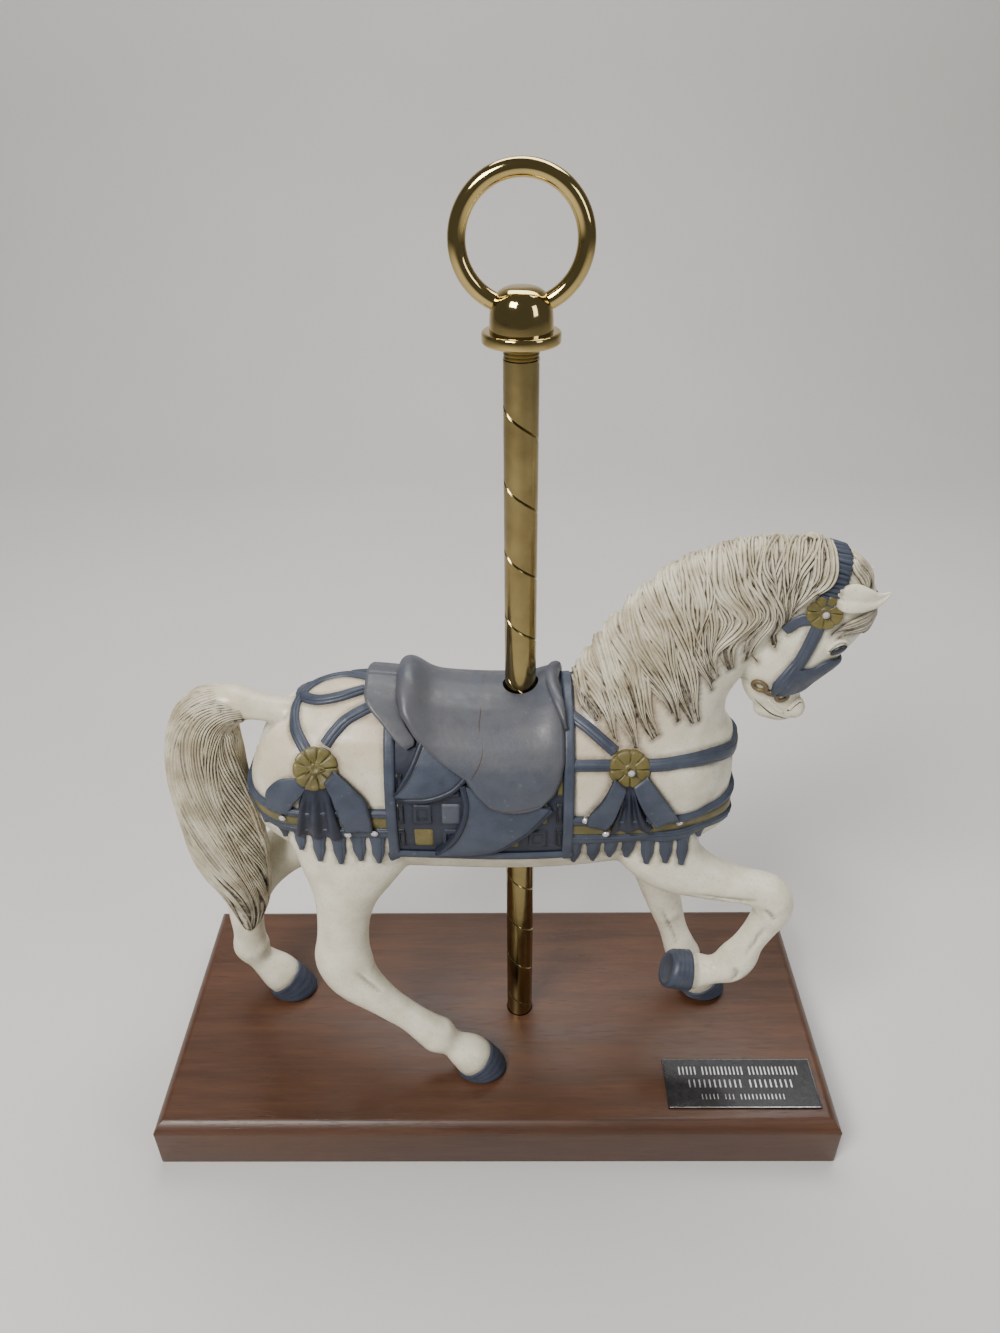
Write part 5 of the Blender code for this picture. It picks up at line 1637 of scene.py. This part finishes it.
hooves = join("hooves", [hoof(*rows) for rows in HOOVES])

# %% [markdown]
# ## Mane, forelock and tail
# The hair is carved in locks, each with a few strands and dark wash between them; the same darkening
# paints the shade where a lock lies under others. Guide routes run from the crest to the tips. New locks
# are made between neighbouring guides in three layers, each narrower and standing higher than the last.
# Towards their tips the locks are drawn together into pointed groups, so the strands cross and overlap
# as carved hair does. The tail is a core with locks that wind round it.

# %% Mane
MANE = [[(33, 3, 235), (33, -8, 233), (37, -15, 227)],
        [(37, 6, 238), (39, -12, 236), (47, -22, 222)],
        [(42, 2, 247), (46, -16, 239), (55, -25, 216)],
        [(47, 3, 256), (53, -18, 242), (59, -25, 217)],
        [(54, 2, 264), (57, -16, 251), (69, -23, 224)],
        [(59, 2, 272), (66, -17, 254), (77, -22, 229)],
        [(66, 5, 277), (72, -17, 258), (83, -21, 221)],
        [(73, 5, 282), (75, -16, 262), (87, -19, 236)],
        [(77, 5, 286), (77, -14, 271), (88, -18, 241)],
        [(82, 4, 290), (82, -12, 278), (80, -17, 258), (88, -18, 243)],
        [(89, 4, 292), (89, -12, 281), (99, -15, 269), (87, -17, 257), (91, -17, 245)],
        [(95, 3, 294), (95, -11, 285), (104, -14, 270), (97, -15, 257), (98, -15, 247)],
        [(102, 4, 295), (100, -12, 286), (111, -11, 266), (110, -11, 251)],
        [(107, 3, 295), (103, -10, 289), (109, -13, 273), (110, -12, 262)],
        [(114, 3, 295), (109, -11, 286), (110, -13, 268)],
        [(119, 2, 294), (112, -12, 286), (112, -11, 266)],
        [(124, -1, 294), (117, -12, 283), (114, -10, 265)],
        [(128, -5, 292), (124, -11, 281), (116, -11, 269)]]
LOCKS_BETWEEN, GUIDE_STEPS = 3, 12
FORELOCK = [[(135, 3, 289), (139, -2, 287), (144, -4, 281), (146, -8, 277)],
            [(135.5, -2, 288), (138, -6, 285), (143, -9, 280), (144, -12, 276)],
            [(146, -4, 273), (147, -7, 268), (140, -11, 266), (131, -13, 261)],
            [(147, -3, 270), (147, -7, 264), (141, -10, 262.5), (134, -12.5, 259.5)],
            [(147, -1, 267), (145, -7, 261), (141, -10, 260)],
            [(147, 2, 274), (148, 2, 268), (147, 0, 262)]]


def between_guides(first, second, share):
    a, b = evenly(first, GUIDE_STEPS), evenly(second, GUIDE_STEPS)
    return a * (1 - share) + b * share


def far_root(route):
    """The hair starts a little way down the far side of the crest."""
    x, y, z = route[0]
    return np.vstack([[x - 1.5, y + 6.5, z - 5.5], [x - 0.5, y + 3.0, z - 1.0], route])


HAIR_LAYERS = ((1.5, 6.6, 1.0, 1, 4), (2.6, 5.6, 0.95, 1, 3), (3.6, 4.8, 0.80, 2, 3))
GATHERING = (0.85, 0.65, 0.45)
FRINGE_X = 142


def mane_locks():
    """A layer is its lift, its locks' width and length, the step from one to the next and their strands."""
    locks = []
    total = (len(MANE) - 1) * LOCKS_BETWEEN
    for layer, (lift, width, reach, every, strands) in enumerate(HAIR_LAYERS):
        for index in range(0, total + 1, every):
            guide = min(index // LOCKS_BETWEEN, len(MANE) - 2)
            share = index / LOCKS_BETWEEN - guide
            share = min(max(share + 0.17 * layer + 0.10 * math.sin(4.1 * index + layer), 0.0), 1.0)
            route = between_guides(MANE[guide], MANE[guide + 1], share)
            middle = between_guides(MANE[guide], MANE[guide + 1], 0.5 + 0.2 * math.sin(5 * guide))
            pull = (np.linspace(0, 1, GUIDE_STEPS)[:, None] ** 2) * GATHERING[layer]
            route = route * (1 - pull) + middle * pull
            long = reach * (1 + 0.07 * math.sin(index * 2.4 + layer) + 0.04 * math.sin(index * 5.1))
            cut = max(5, min(GUIDE_STEPS, round(GUIDE_STEPS * min(1.0, long))))
            route = [tuple(row) for row in far_root(route[:cut])]
            wide = width * (1 + 0.26 * math.sin(index * 1.7 + 2 * layer))
            high = lift * (1 + 0.15 * math.sin(3.3 * index))
            locks.append(lock("lock", route, wide, high, strands=strands, phase=0.37 * guide + 0.08 * index,
                              count=34, root=0.7, sway=0.8 + 0.3 * layer))
    for route in FORELOCK:
        locks.append(lock("lock", route, 5.2, 1.7, phase=route[0][2]))
        if route[-1][0] < FRINGE_X:
            locks.append(lock("lock", other_side(route), 5.2, 1.7, phase=route[0][2]))
    print("locks in the mane:", len(locks))
    return join("mane", locks)


# %% Tail
TAIL = [(-100, 0, 220, 5, 6), (-109, 0, 221, 7.5, 8), (-119, 0, 216, 11.5, 9.5), (-124, -1, 202, 13.5, 11),
        (-125, -2, 183, 15, 11.5), (-123, -3, 160, 15.8, 11), (-121, -4, 139, 15, 10),
        (-118, -5, 122, 11, 8.5), (-118, -5, 108, 8, 6), (-119, -5, 97, 4.4, 3.5), (-120, -5, 91, 1.2, 1)]
TAIL_LOCKS, TAIL_TURN = 32, 1.15
SHORT_OF_TIP = [0, 9, 4, 14, 2, 11, 6]


def tail_hair():
    """Locks start at three heights and end at several, and all wind the same way round the core."""
    core = limb("tail_core", TAIL, sides=40, steps=5)
    surface = skin_of(core)
    path = flowing(TAIL, 6)
    last = len(path) - 1
    locks = [core]
    for index in range(TAIL_LOCKS):
        first = 2 * math.pi * index / TAIL_LOCKS
        starts = 3 + 2 * (index % 3)
        length = last - SHORT_OF_TIP[index % 7]
        route = []
        for step in range(starts, length, 3):
            x, y, z, deep, wide = path[step]
            share = step / last
            angle = first + TAIL_TURN * soft_step(0.25, 0.9, share) + 0.16 * math.sin(9 * share + index)
            ahead, behind = path[min(step + 1, last)], path[max(step - 1, 0)]
            along = (Vector(ahead[:3]) - Vector(behind[:3])).normalized()
            across = Vector((0, 1, 0))
            out = along.cross(across).normalized()
            spot = Vector((x, y, z)) + out * (deep + 1) * math.cos(angle)
            route.append(tuple(spot + across * (wide + 1) * math.sin(angle)))
        width = 7.0 * (1 + 0.2 * math.sin(2.9 * index))
        locks.append(lock("tail_lock", route, width, 2.2 + 0.9 * (index % 3) / 2, strands=5, surface=surface,
                          phase=0.29 * index, count=56, root=0.6, sway=0.7))
    return join("tail", locks), surface


mane = mane_locks()
tail, tail_surface = tail_hair()
# Dark wash and painted shade between the strands and under crossing locks.
HAIR_REACH, HAIR_FULL_DEPTH = 1.35, 0.19
gather_wash_and_shade(mane, skin, HAIR_REACH, HAIR_FULL_DEPTH)
gather_wash_and_shade(tail, tail_surface, HAIR_REACH, HAIR_FULL_DEPTH)

# %% Wash, painted shade and keeping the horse's pieces
tack = (field, border, rails, straps, tongues, bosses, slate_ribbons, navy_ribbons, bridle, nose, hooves,
        mane, pad, ears)
# The body darkens in its hollows and beside the tack: brown wash and painted shade, with a painted shadow
# under the mane.
lay_wash_and_shade(body, 0.50, spread=6, strength=0.8, beside=tack, reach=2.2)
lay_wash_and_shade(ears, 0.9, spread=4, strength=0.5, beside=(bosses, bridle), reach=1.2)
# Wash and painted shade for each piece of tack: the depth at which it is full, and the pieces beside it.
TACK_WASH_AND_SHADE = [(rails, 0.3, ()),
             (belt_gold, 0.3, (rails,)),
             (straps, 0.22, ()),
             (tongues, 0.3, (rails,)),
             (slate_ribbons, 0.35, (bosses,)),
             (navy_ribbons, 0.3, (bosses, slate_ribbons)),
             (bosses, 0.22, ()),
             (nose, 0.3, ()),
             (bridle, 0.25, ()),
             (bits, 0.4, (bridle,)),
             (eyes, 0.5, ()),
             (eyelids, 0.35, (eyes,)),
             (hooves, 0.4, ())]
for piece, depth, near in TACK_WASH_AND_SHADE:
    lay_wash_and_shade(piece, depth, beside=near, reach=0.8)
lay_wash_and_shade(slits_and_ear_shadow, 0.5, least=0.9)
keep_painted(CREAM, 180, body)
keep_painted(HAIR, 180, mane, tail)
keep_painted(SLATE, 60, rails)
keep_painted(GOLD, 60, belt_gold)
keep_painted(SLATE, 60, straps, tongues, slate_ribbons)
keep_painted(NAVY, 60, navy_ribbons)
keep_painted(GOLD, 60, bosses)
keep_painted(SLATE, 60, nose, bridle)
keep_painted(GILT, 60, bits)
keep_painted(CREAM, 180, ears)
keep_painted(DARK, 180, eyes)
keep_painted(CREAM, 180, eyelids)
keep_painted(DARK, 180, slits_and_ear_shadow)
keep_painted(HOOF, 60, hooves)

# %% [markdown]
# ## The foiled stones
# Small clear stones are glued on bosses, belt and bridle. One is modelled, an eight-sided culet
# extruded and widened to its girdle and then narrowed to its table, and each copy is set in a short
# cup at its CAD place.

# %% Stones
CULET_RADIUS, CULET_DEPTH = 0.6875 * MM, 0.75 * MM
STONE_STEPS = [(0.65, 1.82), (0.15, 1.0), (0.45, 0.62)]
CUP_PROFILE = [(0.9, -1.9), (1.15, -0.5), (1.42, -0.1), (1.42, 0.12), (1.22, 0.12), (1.1, -0.3)]
CUP_SIDES = 20


def cut_stone():
    """Each step is a rise in millimetres and the share to which the new ring is scaled."""
    drop_selection()
    bpy.ops.mesh.primitive_circle_add(vertices=8, radius=CULET_RADIUS, fill_type="NGON",
                                      location=(0, 0, -CULET_DEPTH))
    stone = started("stone")
    bpy.ops.object.mode_set(mode="EDIT")
    bpy.ops.mesh.select_all(action="SELECT")
    for rise, size in STONE_STEPS:
        bpy.ops.mesh.extrude_region_move(TRANSFORM_OT_translate={"value": (0, 0, rise * MM)})
        bpy.ops.transform.resize(value=(size, size, 1))
    bpy.ops.mesh.select_all(action="SELECT")
    bpy.ops.mesh.normals_make_consistent(inside=False)
    bpy.ops.object.mode_set(mode="OBJECT")
    return stone


def stone_cup(place, facing):
    rings = []
    turn = facing.to_track_quat("Z", "Y").to_matrix()
    for radius, height in CUP_PROFILE:
        ring = []
        for side in range(CUP_SIDES):
            angle = 2 * math.pi * side / CUP_SIDES
            edge = Vector((math.cos(angle) * radius, math.sin(angle) * radius, height))
            ring.append(place + turn @ (edge * MM))
        rings.append(ring)
    return tube("stone_cup", rings)


pattern_stone = cut_stone()
cups = []
for number in range(1, 9):
    low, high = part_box(f"stone_{number}")
    place = (Vector(low) + Vector(high)) / 2
    hit, normal = nearest(skin, place)
    facing = (normal + Vector((0, -1, 0))).normalized()
    stone = pattern_stone.copy()
    stone.data = pattern_stone.data.copy()
    bpy.context.scene.collection.objects.link(stone)
    stone.name = f"cut_stone_{number}"
    stone.data.transform(Matrix.Translation(place) @ facing.to_track_quat("Z", "Y").to_matrix().to_4x4())
    keep(stone, f"stone_{number}", STONE_GLASS, 5)
    cups.append(stone_cup(place, facing))
bpy.data.objects.remove(pattern_stone, do_unlink=True)
cups = join("stone_cups", cups)
lay_wash_and_shade(cups, 0.5)
keep(cups, "horse", PLATE_SILVER, 40)

# %% [markdown]
# ## Floor, light and camera
# The object stands on a plain pale floor that sweeps up behind it. One broad soft light hangs over the
# front left, a weaker one fills from the right, and a strip behind draws edges on the brass. The
# camera stands where a fit to the base's corners puts it, tilted down and rolled a little.

# %% Stage
SWEEP_STEPS, SWEEP_STEP, WALL_RISE = 12, 0.055, 2.2


def sweep():
    drop_selection()
    bpy.ops.mesh.primitive_plane_add(size=1, location=(0, -0.6, 0))
    bpy.context.object.scale = (6, 2.8, 1)
    floor = started("floor")
    bpy.ops.object.mode_set(mode="EDIT")
    form = bmesh.from_edit_mesh(floor.data)
    bpy.ops.mesh.select_all(action="DESELECT")
    for edge in form.edges:
        edge.select = all(corner.co.y > 0.5 for corner in edge.verts)
    form.select_flush_mode()
    for index in range(SWEEP_STEPS):
        turn = math.radians(90 * (index + 0.5) / SWEEP_STEPS)
        bpy.ops.mesh.extrude_region_move(
            TRANSFORM_OT_translate={"value": (0, SWEEP_STEP * math.cos(turn), SWEEP_STEP * math.sin(turn))})
    bpy.ops.mesh.extrude_region_move(TRANSFORM_OT_translate={"value": (0, 0, WALL_RISE)})
    bpy.ops.object.mode_set(mode="OBJECT")
    return floor


def pale_finish():
    material, tree, shader = new_finish("pale_floor", 0.85)
    clouds = remap(tree, speckle(tree, place_nodes(tree), 3.0), 0.3, 0.7)
    tone = mixed(tree, clouds, (0.60, 0.588, 0.570), (0.565, 0.553, 0.535))
    tree.links.new(tone, shader.inputs["Base Color"])
    return material


floor = sweep()
take(floor)
bpy.ops.object.shade_smooth()
floor.location.z = -0.2 * MM
floor.data.materials.append(pale_finish())


def soft_light(name, place, aim, size, power, colour):
    bpy.ops.object.light_add(type="AREA", location=place)
    light = bpy.context.object
    light.name = name
    light.data.shape = "RECTANGLE"
    light.data.size, light.data.size_y = size
    light.data.energy = power
    light.data.color = colour
    light.rotation_euler = (Vector(aim) - Vector(place)).to_track_quat("-Z", "Y").to_euler()


drop_selection()
soft_light("key", (-0.60, -0.80, 1.20), (0, 0, 0.15), (0.55, 0.45), 27.0, (1.0, 0.975, 0.94))
soft_light("fill", (1.0, -0.75, 0.75), (0, 0, 0.2), (0.35, 0.6), 3.6, (0.95, 0.97, 1.0))
soft_light("top", (0.15, 0.45, 1.25), (0, 0.1, 0.1), (1.2, 0.5), 14.0, (1.0, 0.99, 0.97))
world = bpy.data.worlds.new("studio")
bpy.context.scene.world = world
world.use_nodes = True
world.node_tree.nodes["Background"].inputs["Color"].default_value = (0.74, 0.74, 0.73, 1)
world.node_tree.nodes["Background"].inputs["Strength"].default_value = 0.16

# %% Camera
IMAGE_HEIGHT, FOCAL_PIXELS, SENSOR = 1333, 978.0, 36.0
PITCH, YAW, ROLL = math.radians(32.67), math.radians(0.575), math.radians(0.618)
CAMERA_PLACE = (0.0066, -0.3365, 0.4553)

bpy.ops.object.camera_add(location=CAMERA_PLACE)
camera = bpy.context.object
camera.name = "camera"
ahead = Vector((-math.sin(YAW) * math.cos(PITCH), math.cos(YAW) * math.cos(PITCH), -math.sin(PITCH)))
level = Vector((math.cos(YAW), math.sin(YAW), 0))
upright = Vector((-math.sin(YAW) * math.sin(PITCH), math.cos(YAW) * math.sin(PITCH), math.cos(PITCH)))
right = math.cos(ROLL) * level - math.sin(ROLL) * upright
above = math.sin(ROLL) * level + math.cos(ROLL) * upright
camera.rotation_euler = Matrix((right, above, -ahead)).transposed().to_euler()
camera.data.sensor_width = SENSOR
camera.data.lens = FOCAL_PIXELS / IMAGE_HEIGHT * SENSOR
camera.data.clip_start = 0.01
bpy.context.scene.camera = camera
